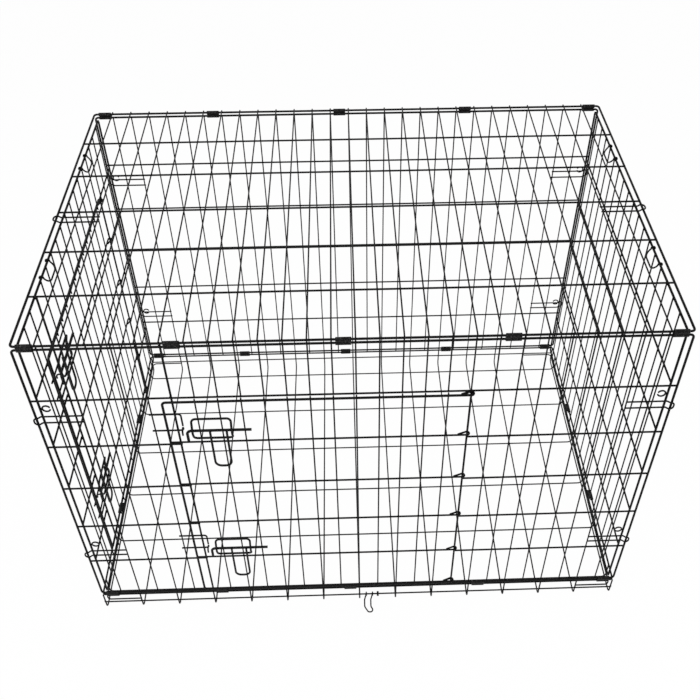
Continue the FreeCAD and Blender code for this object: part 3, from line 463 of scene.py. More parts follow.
def bead_tree(name):
    """Weld beads of uneven size on the guide's points, repeated in two directions."""
    tree, given = new_tree(name, (
        ("Size", "Vector"), ("Count", "Int"), ("Step", "Vector"), ("Rows", "Int"), ("Row Step", "Vector"),
        ("Seed", "Int"), ("Material", "Material")))
    row = repeated(tree, given["Geometry"], given["Count"], given["Step"])
    grid = repeated(tree, row, given["Rows"], given["Row Step"])
    ball = add_node(tree, "GeometryNodeMeshUVSphere", {
        "Segments": BEAD_SEGMENTS, "Rings": BEAD_RINGS, "Radius": 1.0})
    vary = add_node(tree, "FunctionNodeRandomValue", {
        "Min": [BEAD_LEAST] * 3, "Max": [BEAD_MOST] * 3, "Seed": given["Seed"]}, data_type="FLOAT_VECTOR")
    size = add_node(tree, "ShaderNodeVectorMath", {
        0: vary.outputs[0], 1: given["Size"]}, operation="MULTIPLY")
    beads = add_node(tree, "GeometryNodeInstanceOnPoints", {
        "Points": grid, "Instance": ball.outputs[0], "Scale": size.outputs[0]})
    return end_tree(tree, beads.outputs[0], given["Material"])


def row_tree(name):
    """Copies of the guide itself in a row."""
    tree, given = new_tree(name, (("Count", "Int"), ("Step", "Vector"), ("Material", "Material")))
    row = repeated(tree, given["Geometry"], given["Count"], given["Step"])
    return end_tree(tree, row, given["Material"])


def named_tree(name):
    """A node tree or shader group that is built once and then reused."""
    makers = {"round_wire": wire_tree, "weld_bead": bead_tree, "clip_row": row_tree,
              "coat_skin": coat_group, "rub_streaks": rub_group}
    return bpy.data.node_groups.get(name) or makers[name](name)


def guide_mesh(runs, nib):
    """Edges along the runs; each point keeps its bend radius and whether it is a wire's end."""
    points, edges, bends, ends = [], [], [], []
    for run in runs:
        first = len(points)
        places, radii = list(run.points), list(run.bends)
        marks = [0.0] * len(places)
        if not run.closed and not run.blunt[0]:
            places.insert(1, places[0] + (places[1] - places[0]).normalized() * nib)
            radii.insert(1, 0)
            marks = [1.0, 0.0] + marks[1:]
        if not run.closed and not run.blunt[1]:
            places.insert(-1, places[-1] + (places[-2] - places[-1]).normalized() * nib)
            radii.insert(-1, 0)
            marks = marks[:-1] + [0.0, 1.0]
        points += places
        bends += radii
        ends += marks
        edges += [(index, index + 1) for index in range(first, len(points) - 1)]
        if run.closed:
            edges.append((len(points) - 1, first))
    mesh = bpy.data.meshes.new("guide")
    mesh.from_pydata(points, edges, [])
    for name, values in (("bend", bends), ("end", ends)):
        mesh.attributes.new(name, "FLOAT", "POINT").data.foreach_set("value", values)
    return mesh


def from_tree(mesh, tree_name, **values):
    """Plain mesh that a node tree makes from a guide mesh."""
    tree = named_tree(tree_name)
    guide = bpy.data.objects.new("guide", mesh)
    bpy.context.scene.collection.objects.link(guide)
    modifier = guide.modifiers.new(tree_name, "NODES")
    modifier.node_group = tree
    for item in tree.interface.items_tree:
        key = item.name.lower().replace(" ", "_")
        if item.in_out == "INPUT" and key in values:
            modifier[item.identifier] = values[key]
    depsgraph = bpy.context.evaluated_depsgraph_get()
    made = bpy.data.meshes.new_from_object(guide.evaluated_get(depsgraph), depsgraph=depsgraph)
    bpy.data.objects.remove(guide)
    bpy.data.meshes.remove(mesh)
    return made


def wires_of(crate, wire, runs, count=1, step=NOWHERE, section=1.0):
    """Mesh of round wires along runs, repeated in a row. The section multiplies their width."""
    sizes = crate.wires
    return from_tree(guide_mesh(runs, wire * sizes.nib), "round_wire", wire=wire * section,
                     sides=sizes.sides, bend_steps=sizes.bend_steps, nib_size=sizes.nib_size,
                     count=count, step=step, material=bpy.data.materials["wire_coat"])


def beads_of(crate, points, thin, count=1, step=NOWHERE, rows=1, row_step=NOWHERE, scale=1.0):
    """Mesh of weld beads, flattened along one direction."""
    fittings = crate.fittings
    size = Vector([fittings.bead_depth if abs(axis) > 0.5 else fittings.bead for axis in thin]) * scale
    mesh = bpy.data.meshes.new("guide")
    mesh.from_pydata(points, [], [])
    return from_tree(mesh, "weld_bead", size=size, count=count, step=step, rows=rows, row_step=row_step,
                     seed=len(points) + count, material=bpy.data.materials["weld_coat"])


def put_piece(name, meshes, material, body, nodes=()):
    """Join meshes into one piece that rides on a body and stands for its CAD nodes."""
    shell = bmesh.new()
    for mesh in meshes:
        shell.from_mesh(mesh)
        bpy.data.meshes.remove(mesh)
    joined = bpy.data.meshes.new(name)
    shell.to_mesh(joined)
    shell.free()
    joined.materials.clear()
    joined.materials.append(bpy.data.materials[material])
    piece = bpy.data.objects.new(name, joined)
    bpy.context.scene.collection.objects.link(piece)
    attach(piece, body)
    if nodes:
        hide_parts(*nodes)


def put_wires(crate, name, node, body, wire, runs, *row, coat="wire_coat"):
    """Piece of round wires that stands for one CAD node. The row is its count, step and section."""
    put_piece(name, [wires_of(crate, wire, runs, *row)], coat, body, nodes=[node])


def smooth_mesh(shell):
    """Mesh of a finished shell, smooth between its sharp edges."""
    for face in shell.faces:
        face.smooth = True
    mesh = bpy.data.meshes.new("guide")
    shell.to_mesh(mesh)
    shell.free()
    mesh.set_sharp_from_angle(angle=SHARP_FROM)
    return mesh


def noise(tree, place, pattern):
    """Cloudy pattern of the coating."""
    inputs = {"Vector": place, "Scale": pattern.waves, "Detail": pattern.detail,
              "Roughness": pattern.roughness}
    return add_node(tree, "ShaderNodeTexNoise", inputs).outputs["Fac"]


def ramp(tree, value, low, high, start=0.0, end=1.0):
    """Value stretched from one span to another and held there."""
    inputs = {"Value": value, "From Min": low, "From Max": high, "To Min": start, "To Max": end}
    return add_node(tree, "ShaderNodeMapRange", inputs, interpolation_type="SMOOTHSTEP").outputs[0]


def cloud(tree, place, pattern):
    """Mask from the span of a pattern that counts."""
    return ramp(tree, noise(tree, place, pattern), pattern.low, pattern.high)


def blend(tree, amount, first, second):
    """Mix of two colours."""
    return add_node(tree, "ShaderNodeMix", {0: amount, 6: first, 7: second}, data_type="RGBA").outputs[2]


def coat_group(name):
    """Coating that all pieces share: uneven tone, orange peel, dust on top and chipped spots."""
    group, given = new_group(name, "Shader", (
        ("Coat", "Color"), ("Faded", "Color"), ("Steel", "Color"), ("Dust Colour", "Color"),
        ("Roughness", "Float"), ("Dust", "Float"), ("Bare", "Float")), (
        ("Colour", "Color"), ("Roughness", "Float"), ("Bare", "Float"), ("Height", "Float")))
    place = add_node(group, "ShaderNodeTexCoord").outputs["Object"]
    tone = noise(group, place, TONE)
    limit = calculate(group, "MULTIPLY_ADD", given["Bare"], CHIP_SPREAD, CHIP_START)
    bare = ramp(group, noise(group, place, CHIPS), limit, calculate(group, "ADD", limit, CHIP_EDGE))
    normal = add_node(group, "ShaderNodeNewGeometry").outputs["Normal"]
    upward = ramp(group, add_node(group, "ShaderNodeSeparateXYZ", {0: normal}).outputs["Z"], *FACING_UP)
    settled = calculate(group, "MULTIPLY", upward, cloud(group, place, DUST))
    dust = calculate(group, "MULTIPLY", settled, given["Dust"])
    fade = ramp(group, tone, TONE.low, TONE.high, 0.0, FADED_MOST)
    shade = blend(group, fade, given["Coat"], given["Faded"])
    dusty = blend(group, dust, shade, given["Dust Colour"])
    colour = blend(group, bare, dusty, given["Steel"])
    uneven = ramp(group, tone, TONE.low, TONE.high, *TONE_ROUGHNESS)
    rough = calculate(group, "ADD", given["Roughness"], uneven)
    rough = calculate(group, "ADD", rough, calculate(group, "MULTIPLY", dust, DUST_ROUGHNESS))
    pits, peel = noise(group, place, PITS), noise(group, place, PEEL)
    height = calculate(group, "MULTIPLY_ADD", pits, PIT_HEIGHT, peel)
    height = calculate(group, "SUBTRACT", height, calculate(group, "MULTIPLY", bare, CHIP_DEPTH))
    add_node(group, "NodeGroupOutput", {
        "Colour": colour, "Roughness": rough, "Bare": bare, "Height": height})
    return group


def rub_group(name):
    """Fine streaks along the way a piece slides."""
    group, given = new_group(name, "Shader", (("Scale", "Vector"), ("Amount", "Float")),
                             (("Mask", "Float"),))
    place = add_node(group, "ShaderNodeTexCoord").outputs["Object"]
    stretched = add_node(group, "ShaderNodeVectorMath", {0: place, 1: given["Scale"]}, operation="MULTIPLY")
    streaks, patches = cloud(group, stretched.outputs[0], STREAKS), cloud(group, place, PATCHES)
    mask = calculate(group, "MULTIPLY", calculate(group, "MULTIPLY", streaks, patches), given["Amount"])
    add_node(group, "NodeGroupOutput", {"Mask": mask})
    return group


def emptied_tree(owner):
    """Node tree of a material or world, with nothing in it."""
    owner.use_nodes = True
    owner.node_tree.nodes.clear()
    return owner.node_tree


def coat_material(finish, coat):
    """Coating of one kind of piece, with its own wear."""
    tree = emptied_tree(bpy.data.materials.new(coat.name))
    steel = (*finish.steel, 1)
    skin = add_node(tree, "ShaderNodeGroup", node_tree=named_tree("coat_skin"))
    for label, value in (("Coat", (*getattr(finish, coat.colour), 1)), ("Faded", (*finish.faded, 1)),
                         ("Steel", steel), ("Dust Colour", (*finish.dust_tint, 1)),
                         ("Roughness", coat.roughness), ("Dust", finish.dust),
                         ("Bare", finish.bare * coat.chips)):
        skin.inputs[label].default_value = value
    shade, rough, metal = skin.outputs["Colour"], skin.outputs["Roughness"], skin.outputs["Bare"]
    mask = None
    if coat.streaks:
        rubbed = add_node(tree, "ShaderNodeGroup", node_tree=named_tree("rub_streaks"))
        rubbed.inputs["Scale"].default_value = coat.streaks
        rubbed.inputs["Amount"].default_value = finish.rubbed
        mask = rubbed.outputs["Mask"]
    if coat.worn_edges:
        edge = add_node(tree, "ShaderNodeAttribute", attribute_name="worn").outputs["Fac"]
        patchy = cloud(tree, add_node(tree, "ShaderNodeTexCoord").outputs["Object"], EDGES)
        mask = calculate(tree, "MULTIPLY", calculate(tree, "MULTIPLY", edge, patchy), finish.rubbed)
    if mask:
        shade = blend(tree, mask, shade, steel)
        metal = calculate(tree, "MAXIMUM", metal, mask)
        rough = calculate(tree, "SUBTRACT", rough, calculate(tree, "MULTIPLY", mask, RUB_POLISH))
    bump = add_node(tree, "ShaderNodeBump", {
        "Strength": coat.peel, "Distance": PEEL_DEPTH, "Height": skin.outputs["Height"]})
    coating = add_node(tree, "ShaderNodeBsdfPrincipled", {
        "Base Color": shade, "Roughness": rough, "Metallic": metal, "Specular IOR Level": finish.gloss,
        "Normal": bump.outputs[0]})
    add_node(tree, "ShaderNodeOutputMaterial", {"Surface": coating.outputs[0]})


class CRATE_OT_finishes(Operator):
    """Mix the coatings of wires, welds, latches and clips"""
    bl_idname = "crate.finishes"
    bl_label = "Finishes"
    bl_options = {"REGISTER", "UNDO"}

    def execute(self, context):
        for coat in COATS:
            coat_material(context.scene.crate.finish, coat)
        return {"FINISHED"}


def frame_loop(wide, tall, bend):
    """Corners of a panel's closed border."""
    corners = ((wide, 0), (wide, tall), (0, tall), (0, 0))
    return [(wide / 2, 0, 0)] + [(along, 0, up, bend) for along, up in corners]


class CRATE_OT_tray(Operator):
    """Build the tray's floor wires, rim and guard wires"""
    bl_idname = "crate.tray"
    bl_label = "Tray"
    bl_options = {"REGISTER", "UNDO"}

    def execute(self, context):
        crate, plan = crate_and_plan(context)
        sizes, panels, wire = crate.wires, crate.panels, crate.wires.floor
        side_x, front_y, bend = plan.side_x, plan.front_y, panels.floor_bend

        def put(kind, size, runs, *row):
            """Piece of the tray."""
            put_wires(crate, f"tray_{kind}", f"base_{kind}", "frame", size, runs, *row)

        def dished(middle, half, low):
            """Floor wire with both ends turned up to the rim."""
            under = plan.rim_z - sizes.border / 2
            corners = ((-1, under), (-1, low), (1, low), (1, under))
            return Run([middle + side * half + z * Z for side, z in corners], [0, bend, bend, 0])

        lower, upper = wire / 2, wire * 3 / 2
        put("depth_wires", wire, [dished(-side_x * X, front_y * Y, lower)],
            panels.spaces // 2 + 1, plan.floor_step * X)
        put("long_wires", wire, [dished(plan.floor_first * Y, side_x * X, upper)],
            panels.floor_rows, panels.floor_pitch * Y)
        rim = run_on(plan.rim, frame_loop(2 * side_x, 2 * front_y, panels.border_bend), closed=True)
        put("rim", sizes.border, [rim])
        outer, inner = front_y + wire, front_y - wire
        front, back = [Run([Vector((end * side_x, side * outer, plan.guard_z)) for end in (-1, 1)], [0, 0])
                       for side in (-1, 1)]
        put("front_wire", wire, [front])
        guards = [back]
        for side in (-1, 1):
            lap, edge = side * (side_x - panels.guard_lap), side * (side_x - wire)
            corners = ((lap, -inner), (edge, -inner), (edge, inner), (lap, inner))
            guards.append(Run([Vector((x, y, plan.guard_z)) for x, y in corners], [0, bend, bend, 0]))
        put("guard_wires", wire, guards)
        return {"FINISHED"}


def upright_rows(crate, wall):
    """Rows of a wall's close-set wires: first place, foot, head and count."""
    if not wall.hinge:
        return [(1, wall.foot, wall.head, wall.spaces - 1)]
    header = wall.tall - wall.level - crate.wires.cross / 2 - crate.panels.overhang
    return [(1, wall.foot, wall.head, wall.latch - 1),
            (wall.latch + 1, header, wall.head, wall.hinge - wall.latch),
            (wall.hinge + 1, wall.foot, wall.head, wall.spaces - wall.hinge - 1)]


def cross_rows(crate, wall):
    """Rows of a wall's wide-set wires: first level, start, end and count."""
    sizes, levels = crate.wires, crate.panels.levels
    inner, outer = sizes.border / 2, wall.wide - sizes.border / 2
    if not wall.hinge:
        return [(1, inner, outer, levels - 1)]
    latch_end = wall.latch * wall.pitch + sizes.post / 2 + crate.panels.overhang
    hinge_end = wall.hinge * wall.pitch + sizes.post / 2
    return [(levels - 1, inner, outer, 1), (1, inner, latch_end, levels - 2),
            (1, hinge_end, outer, levels - 2)]


def build_wall(crate, name, wall):
    """Border, close-set wires and wide-set wires of one panel, each a piece of its own."""
    sizes, face = crate.wires, wall.face
    close_set, wide_set = ("depth_wires", "long_wires") if name == "top" else ("uprights", "cross_wires")
    border = run_on(face, frame_loop(wall.wide, wall.tall, crate.panels.border_bend), closed=True)
    uprights, crossing = [], []
    out = wall.side * (sizes.border + sizes.upright) / 2
    for first, foot, head, count in upright_rows(crate, wall):
        along = first * wall.pitch
        run = run_on(face, [(along, out, foot), (along, out, head)])
        uprights.append(wires_of(crate, sizes.upright, [run], count, wall.pitch * face.along, HEXAGON))
    out = wall.side * (sizes.border - sizes.cross) / 2
    for first, start, end, count in cross_rows(crate, wall):
        up = first * wall.level
        run = run_on(face, [(start, out, up), (end, out, up)])
        crossing.append(wires_of(crate, sizes.cross, [run], count, wall.level * face.up, HEXAGON))
    for kind, meshes in (("border", [wires_of(crate, sizes.border, [border], section=OCTAGON)]),
                         (close_set, uprights), (wide_set, crossing)):
        put_piece(f"{name}_panel_{kind}", meshes, "wire_coat", wall.body, nodes=[f"{name}_{kind}"])


def build_posts(crate, name, wall):
    """Latch post behind the cross wires and hinge post in the panel's plane."""
    sizes = crate.wires
    out = -(sizes.border + sizes.post) / 2
    latch, hinge = wall.latch * wall.pitch, wall.hinge * wall.pitch
    under = (crate.panels.levels - 1) * wall.level - sizes.cross / 2
    runs = [run_on(wall.face, [(latch, out, -sizes.border / 2), (latch, out, wall.head)]),
            run_on(wall.face, [(hinge, 0, sizes.border / 2), (hinge, 0, under)])]
    put_wires(crate, f"{name}_door_posts", f"{name}_posts", wall.body, sizes.post, runs)


class CRATE_OT_panels(Operator):
    """Build the front, back, top and end panels with their door posts"""
    bl_idname = "crate.panels"
    bl_label = "Panels"
    bl_options = {"REGISTER", "UNDO"}

    def execute(self, context):
        crate, plan = crate_and_plan(context)
        for name, wall in plan.walls.items():
            build_wall(crate, name, wall)
            if wall.hinge:
                build_posts(crate, name, wall)
        return {"FINISHED"}


def door_heights(crate, wall):
    """Heights of a door's wires, from its bottom wire to its top wire."""
    levels, doors = crate.panels.levels, crate.doors
    heights = [doors.lift + step * wall.level for step in range(levels - 1)]
    return heights + [(levels - 1) * wall.level - doors.drop]


def hinge_eye(crate, plan, wall, wire, height):
    """Corners of a tapered eye round the hinge post, from its free end to the wire in front of the post."""
    post, reach = wall.hinge * wall.pitch, plan.door_back + wire / 2
    back, lap = crate.doors.eye_length, plan.door_back - crate.panels.gap
    touch = math.atan2(lap, -back) + math.acos(reach / math.hypot(back, lap))
    step = (EYE_END - touch) / EYE_CORNERS
    far = reach / math.cos(step / 2)
    corners = [(post - back, lap, height)]
    for index in range(EYE_CORNERS):
        angle = touch + (index + 0.5) * step
        corners.append((post + far * math.cos(angle), far * math.sin(angle), height, reach * FULL_BEND))
    return corners


class CRATE_OT_doors(Operator):
    """Build the front and left doors, bent round their hinge posts"""
    bl_idname = "crate.doors"
    bl_label = "Doors"
    bl_options = {"REGISTER", "UNDO"}

    def execute(self, context):
        crate, plan = crate_and_plan(context)
        for side in DOOR_SIDES:
            self.build_door(crate, plan, side, plan.walls[side])
        return {"FINISHED"}

    def build_door(self, crate, plan, side, wall):
        """Frame, cross wires and uprights of one door."""
        sizes, doors, back = crate.wires, crate.doors, plan.door_back
        heights = door_heights(crate, wall)
        low, high = heights[0], heights[-1]
        free = wall.latch * wall.pitch - doors.lap

        def put(kind, node, wire, corners, count=1, step=NOWHERE):
            """Piece of the door."""
            door = f"{side}_door"
            put_wires(crate, f"{door}_{kind}", f"{door}_{node}", door, wire, [run_on(wall.face, corners)],
                      count, step, HEXAGON)

        out = back + sizes.door / 2
        corners = hinge_eye(crate, plan, wall, sizes.door, high)
        corners += [(free, out, high, doors.bend), (free, out, low, doors.bend)]
        corners += reversed(hinge_eye(crate, plan, wall, sizes.door, low))
        put("border", "frame", sizes.door, corners)
        corners = hinge_eye(crate, plan, wall, sizes.cross, heights[1])
        corners.append((free + sizes.door / 2, back + sizes.cross / 2, heights[1]))
        put("rungs", "cross_wires", sizes.cross, corners, len(heights) - 2, wall.level * Z)
        out, along = back - sizes.upright / 2, (wall.latch + 1) * wall.pitch
        over = sizes.door / 2 + crate.panels.overhang
        put("mesh", "uprights", sizes.upright, [(along, out, low - over), (along, out, high + over)],
            wall.hinge - wall.latch - 1, wall.pitch * wall.face.along)


def latch_places(crate, plan, wall, rung):
    """Height and places along the wall of one latch's pieces."""
    sizes, doors, corner = crate.wires, crate.doors, HEXAGON / 2
    place = SimpleNamespace(height=doors.lift + rung * wall.level + doors.bolt_rise)
    place.arch = wall.latch * wall.pitch + doors.keeper_reach
    place.tip = place.arch + (sizes.keeper + sizes.bolt) / 2 + doors.tip_play
    place.leg = (wall.latch + 1) * wall.pitch - doors.handle_offset + doors.throw
    place.guide = place.leg - doors.throw - (sizes.handle + sizes.guide) * corner - doors.handle_play
    place.keeper = (wall.latch - 1) * wall.pitch - doors.keeper_tail
    place.handle_out = plan.bolt_out + crate.panels.gap + (sizes.bolt + sizes.handle) / 2
    place.keeper_out = (sizes.keeper - sizes.border) / 2
    place.guide_out = plan.door_back + sizes.guide * corner
    return place


def handle_runs(crate, plan, wall, place):
    """Hanging grip of a latch and the bent tip of its bolt."""
    doors, out, bolt = crate.doors, place.handle_out, plan.bolt_out
    top, foot, bend = place.height + doors.handle_top, place.height - doors.handle_drop, doors.handle_bend
    far = place.leg + doors.handle_width
    grip = run_on(wall.face, [(place.leg, out, top), (place.leg, out, foot, bend),
                              (far, out, foot, bend), (far, out, top)])
    tip = run_on(wall.face, [(place.tip + doors.tip_bend, bolt, place.height),
                             (place.tip, bolt, place.height, doors.tip_bend * FULL_BEND),
                             (place.tip, bolt, place.height - doors.tip_drop)], blunt=(True, False))
    return grip, tip


def guide_run(crate, plan, wall, place):
    """Wire welded to the door and bowed over the bolt at both ends."""
    sizes, doors = crate.wires, crate.doors
    clear, flat, bend = (sizes.bolt + sizes.guide) / 2, place.guide_out, doors.guide_bend
    bowed = plan.bolt_out + crate.panels.gap + clear
    near, far = place.guide, place.guide + doors.guide_width
    rise, fall = place.height + doors.guide_rise, place.height - doors.guide_fall
    up, down = place.height + clear, place.height - clear
    corners = ((far, flat, rise), (far, bowed, up), (far, bowed, down), (far, flat, fall),
               (near, flat, fall), (near, bowed, down), (near, bowed, up), (near, flat, rise))
    start = ((near + far) / 2, flat, rise)
    return run_on(wall.face, [start] + [(*corner, bend) for corner in corners], closed=True)


def keeper_runs(crate, plan, wall, place):
    """Bar arched over the bolt's path and bar turned down above it."""
    doors, behind, bend = crate.doors, place.keeper_out, crate.doors.keeper_bend
    reach = plan.bolt_out - behind
    side, foot, arch = reach * HALF_SIDE, place.height - doors.keeper_fall, place.arch
    corners = [(place.keeper, behind, foot), (arch, behind, foot, bend)]
    for out, up in ((-reach, side), (-side, reach), (side, reach), (reach, side)):
        corners.append((arch, plan.bolt_out + out, place.height + up, reach * FULL_BEND))
    corners.append((arch, plan.bolt_out + reach, foot))
    top, end = place.height + doors.keeper_rise, place.height + reach + crate.wires.keeper / 2
    bar = [(place.keeper, behind, top), (arch, behind, top, bend), (arch, behind, end)]
    return run_on(wall.face, corners), run_on(wall.face, bar)


class CRATE_OT_latches(Operator):
    """Build the slide bolts with their handles, guides and keepers"""
    bl_idname = "crate.latches"
    bl_label = "Latches"
    bl_options = {"REGISTER", "UNDO"}

    def execute(self, context):
        crate, plan = crate_and_plan(context)
        keepers = {side: [] for side in DOOR_SIDES}
        for side, runs in keepers.items():
            wall = plan.walls[side]
            for which, rung in (("upper", crate.panels.levels - 2), ("lower", 1)):
                place = latch_places(crate, plan, wall, rung)
                self.build_latch(crate, plan, f"{side}_{which}", side, wall, place)
                runs += keeper_runs(crate, plan, wall, place)
        for side, runs in keepers.items():
            put_wires(crate, f"{side}_bolt_keepers", f"{side}_keepers", plan.walls[side].body,
                      crate.wires.keeper, runs, coat=f"{side}_latch_coat")
        return {"FINISHED"}

    def build_latch(self, crate, plan, name, side, wall, place):
        """Bolt, grip with the bent tip, and guide of one latch."""
        sizes, doors, coat = crate.wires, crate.doors, f"{side}_latch_coat"
        ends = (place.tip + doors.tip_bend, place.tip + doors.bolt_length)
        rod = run_on(wall.face, [(end, plan.bolt_out, place.height) for end in ends], blunt=(True, False))
        put_wires(crate, f"{name}_slide_bolt", f"{name}_bolt", f"{name}_bolt", sizes.bolt, [rod], coat=coat)
        grip, tip = handle_runs(crate, plan, wall, place)
        feet = [wall.face.at(place.leg + offset, plan.bolt_out + sizes.bolt / 2, place.height)
                for offset in (0, doors.handle_width)]
        meshes = [wires_of(crate, sizes.handle, [grip], section=HEXAGON),
                  wires_of(crate, sizes.bolt, [tip]),
                  beads_of(crate, feet, wall.face.out, scale=GRIP_BEAD)]
        put_piece(f"{name}_grip_and_tip", meshes, coat, f"{name}_handle", nodes=[f"{name}_handle"])
        put_wires(crate, f"{name}_bolt_guide", f"{name}_guide", f"{side}_door", sizes.guide,
                  [guide_run(crate, plan, wall, place)], coat=coat)


def hook_run(crate, wall, height, below, mirrored):
    """Hairpin welded behind an upright, whose closed end reaches past the border."""
    sizes, fittings = crate.wires, crate.fittings
    inside = fittings.hook_spaces * wall.pitch + sizes.hook / 2
    lapped = below * (sizes.hook - sizes.border) / 2
    clear, bend = (sizes.border + sizes.hook) / 2, fittings.hook_bend
    raised = clear + crate.panels.gap
    leg = [(inside, lapped, 0), (clear + fittings.hook_jog, lapped, bend), (clear, raised, bend),
           (-clear, raised, fittings.hook_round)]
    corners = [(along, out, height, radius) for along, out, radius in leg]
    corners += [(along, out, height - fittings.hook_width, radius) for along, out, radius in reversed(leg)]
    if mirrored:
        corners = [(wall.wide - along, *rest) for along, *rest in corners]
    return run_on(wall.face, corners)


def ring_run(crate, wall, along, height):
    """Open ring behind the wall's border."""
    sizes, fittings = crate.wires, crate.fittings
    radius = fittings.ring_radius
    centre = -(sizes.border / 2 + sizes.hook * HEXAGON / 2 + radius)
    corners = []
    for step in range(RING_POINTS):
        angle = (step / (RING_POINTS - 1) - 0.5) * fittings.ring_turn
        corners.append((along, centre + radius * math.cos(angle), height + radius * math.sin(angle)))
    return run_on(wall.face, corners)


def loop_run(crate, wall, middle):
    """Finger loop whose ends are curled round the wall's top border."""
    sizes, fittings = crate.wires, crate.fittings
    reach = (sizes.border + sizes.hook) / 2
    side, deep, half = reach * HALF_SIDE, fittings.loop_depth, fittings.loop_width / 2
    curl = ((reach, side), (side, reach), (-side, reach), (-reach, side), (-reach, -side))
    leg = [(reach, -side, 0)] + [(out, up, reach * FULL_BEND) for out, up in curl]
    leg.append((-deep, -deep, fittings.loop_bend))
    corners = [(middle - half, out, wall.tall + up, bend) for out, up, bend in leg]
    corners += [(middle + half, out, wall.tall + up, bend) for out, up, bend in reversed(leg)]
    return run_on(wall.face, corners)


class CRATE_OT_hooks(Operator):
    """Build the hooks, rings and loops that hold the end panels up"""
    bl_idname = "crate.hooks"
    bl_label = "Hooks and rings"
    bl_options = {"REGISTER", "UNDO"}

    def execute(self, context):
        crate, plan = crate_and_plan(context)
        fittings = crate.fittings
        heights = (fittings.hook_upper, fittings.hook_lower)

        def put(name, kind, node, runs):
            """Hooks, rings or loops of one panel."""
            put_wires(crate, f"{name}_end_{kind}", f"{name}_{node}", plan.walls[name].body,
                      crate.wires.hook, runs)

        for name, below, places in (("front", 1, heights), ("back", 1, heights),
                                    ("top", -1, (fittings.hook_middle,))):
            put(name, "hooks", "hooks", [hook_run(crate, plan.walls[name], height, below, mirrored)
                                         for mirrored in (False, True) for height in places])
        rise = plan.walls["front"].face.start.z - plan.rim_z + fittings.ring_rise
        for name in ("left", "right"):
            wall = plan.walls[name]
            put(name, "rings", "hook_rings", [ring_run(crate, wall, along, height + rise)
                                              for along in (0, wall.wide) for height in heights])
            put(name, "loops", "loops", [loop_run(crate, wall, along)
                                         for along in (fittings.loop_front, fittings.loop_back)])
        return {"FINISHED"}


def clip_outline(crate, step):
    """Folded sheet round two wires one step apart, as pairs of inner and outer points from edge to edge."""
    fittings = crate.fittings
    inner, seam = crate.wires.border / 2 + fittings.clip_gap, fittings.clip_seam / 2
    pairs = []

    def flat(side, start, end, steps):
        """Flat side, pressed in between the wires."""
        for index in range(steps + 1):
            along = start + (end - start) * index / steps
            pinch = fittings.clip_pinch * math.sin(math.pi * along / step) ** 2
            near = Vector((along, side * (inner - pinch)))
            pairs.append((near, near + Vector((0, side * fittings.clip_sheet))))

    def fold(centre, start):
        """Half turn round a wire."""
        for index in range(1, CLIP_FOLD_STEPS):
            angle = start + math.pi * index / CLIP_FOLD_STEPS
            away = Vector((math.cos(angle), math.sin(angle)))
            near = Vector((centre, 0)) + inner * away
            pairs.append((near, near + fittings.clip_sheet * away))

    flat(-1, step / 2 + seam, step, CLIP_FLAT_STEPS // 2)
    fold(step, -math.pi / 2)
    flat(1, step, 0, CLIP_FLAT_STEPS)
    fold(0, math.pi / 2)
    flat(-1, 0, step / 2 - seam, CLIP_FLAT_STEPS // 2)
    return pairs


def clip_mesh(crate, start, across, out, along, step):
    """One clip, with softened edges and a mark for wear along them."""
    span, sheet = crate.fittings.clip_length, crate.fittings.clip_sheet
    pairs = clip_outline(crate, step)
    outline = [near for near, away in pairs] + [away for near, away in reversed(pairs)]
    total = len(outline)
    shell = bmesh.new()
    rings = [[shell.verts.new(start + point.x * across + point.y * out + end * along) for point in outline]
             for end in (0, span)]
    for index in range(total):
        after = (index + 1) % total
        shell.faces.new((rings[0][index], rings[0][after], rings[1][after], rings[1][index]))
    for ring in rings:
        for index in range(len(pairs) - 1):
            mirror = total - 1 - index
            shell.faces.new((ring[index], ring[index + 1], ring[mirror - 1], ring[mirror]))
    bmesh.ops.recalc_face_normals(shell, faces=shell.faces)
    sharp = [edge for edge in shell.edges if edge.calc_face_angle(0) > SOFTENED_FROM]
    bmesh.ops.bevel(shell, geom=sharp, offset=sheet * CLIP_SOFT, segments=2, affect="EDGES",
                    profile=CLIP_PROFILE)
    worn = shell.verts.layers.float.new("worn")
    for vert in shell.verts:
        reach = (vert.co - start).dot(along)
        vert[worn] = max(0.0, 1 - min(reach, span - reach) / (CLIP_WORN * sheet))
    return smooth_mesh(shell)


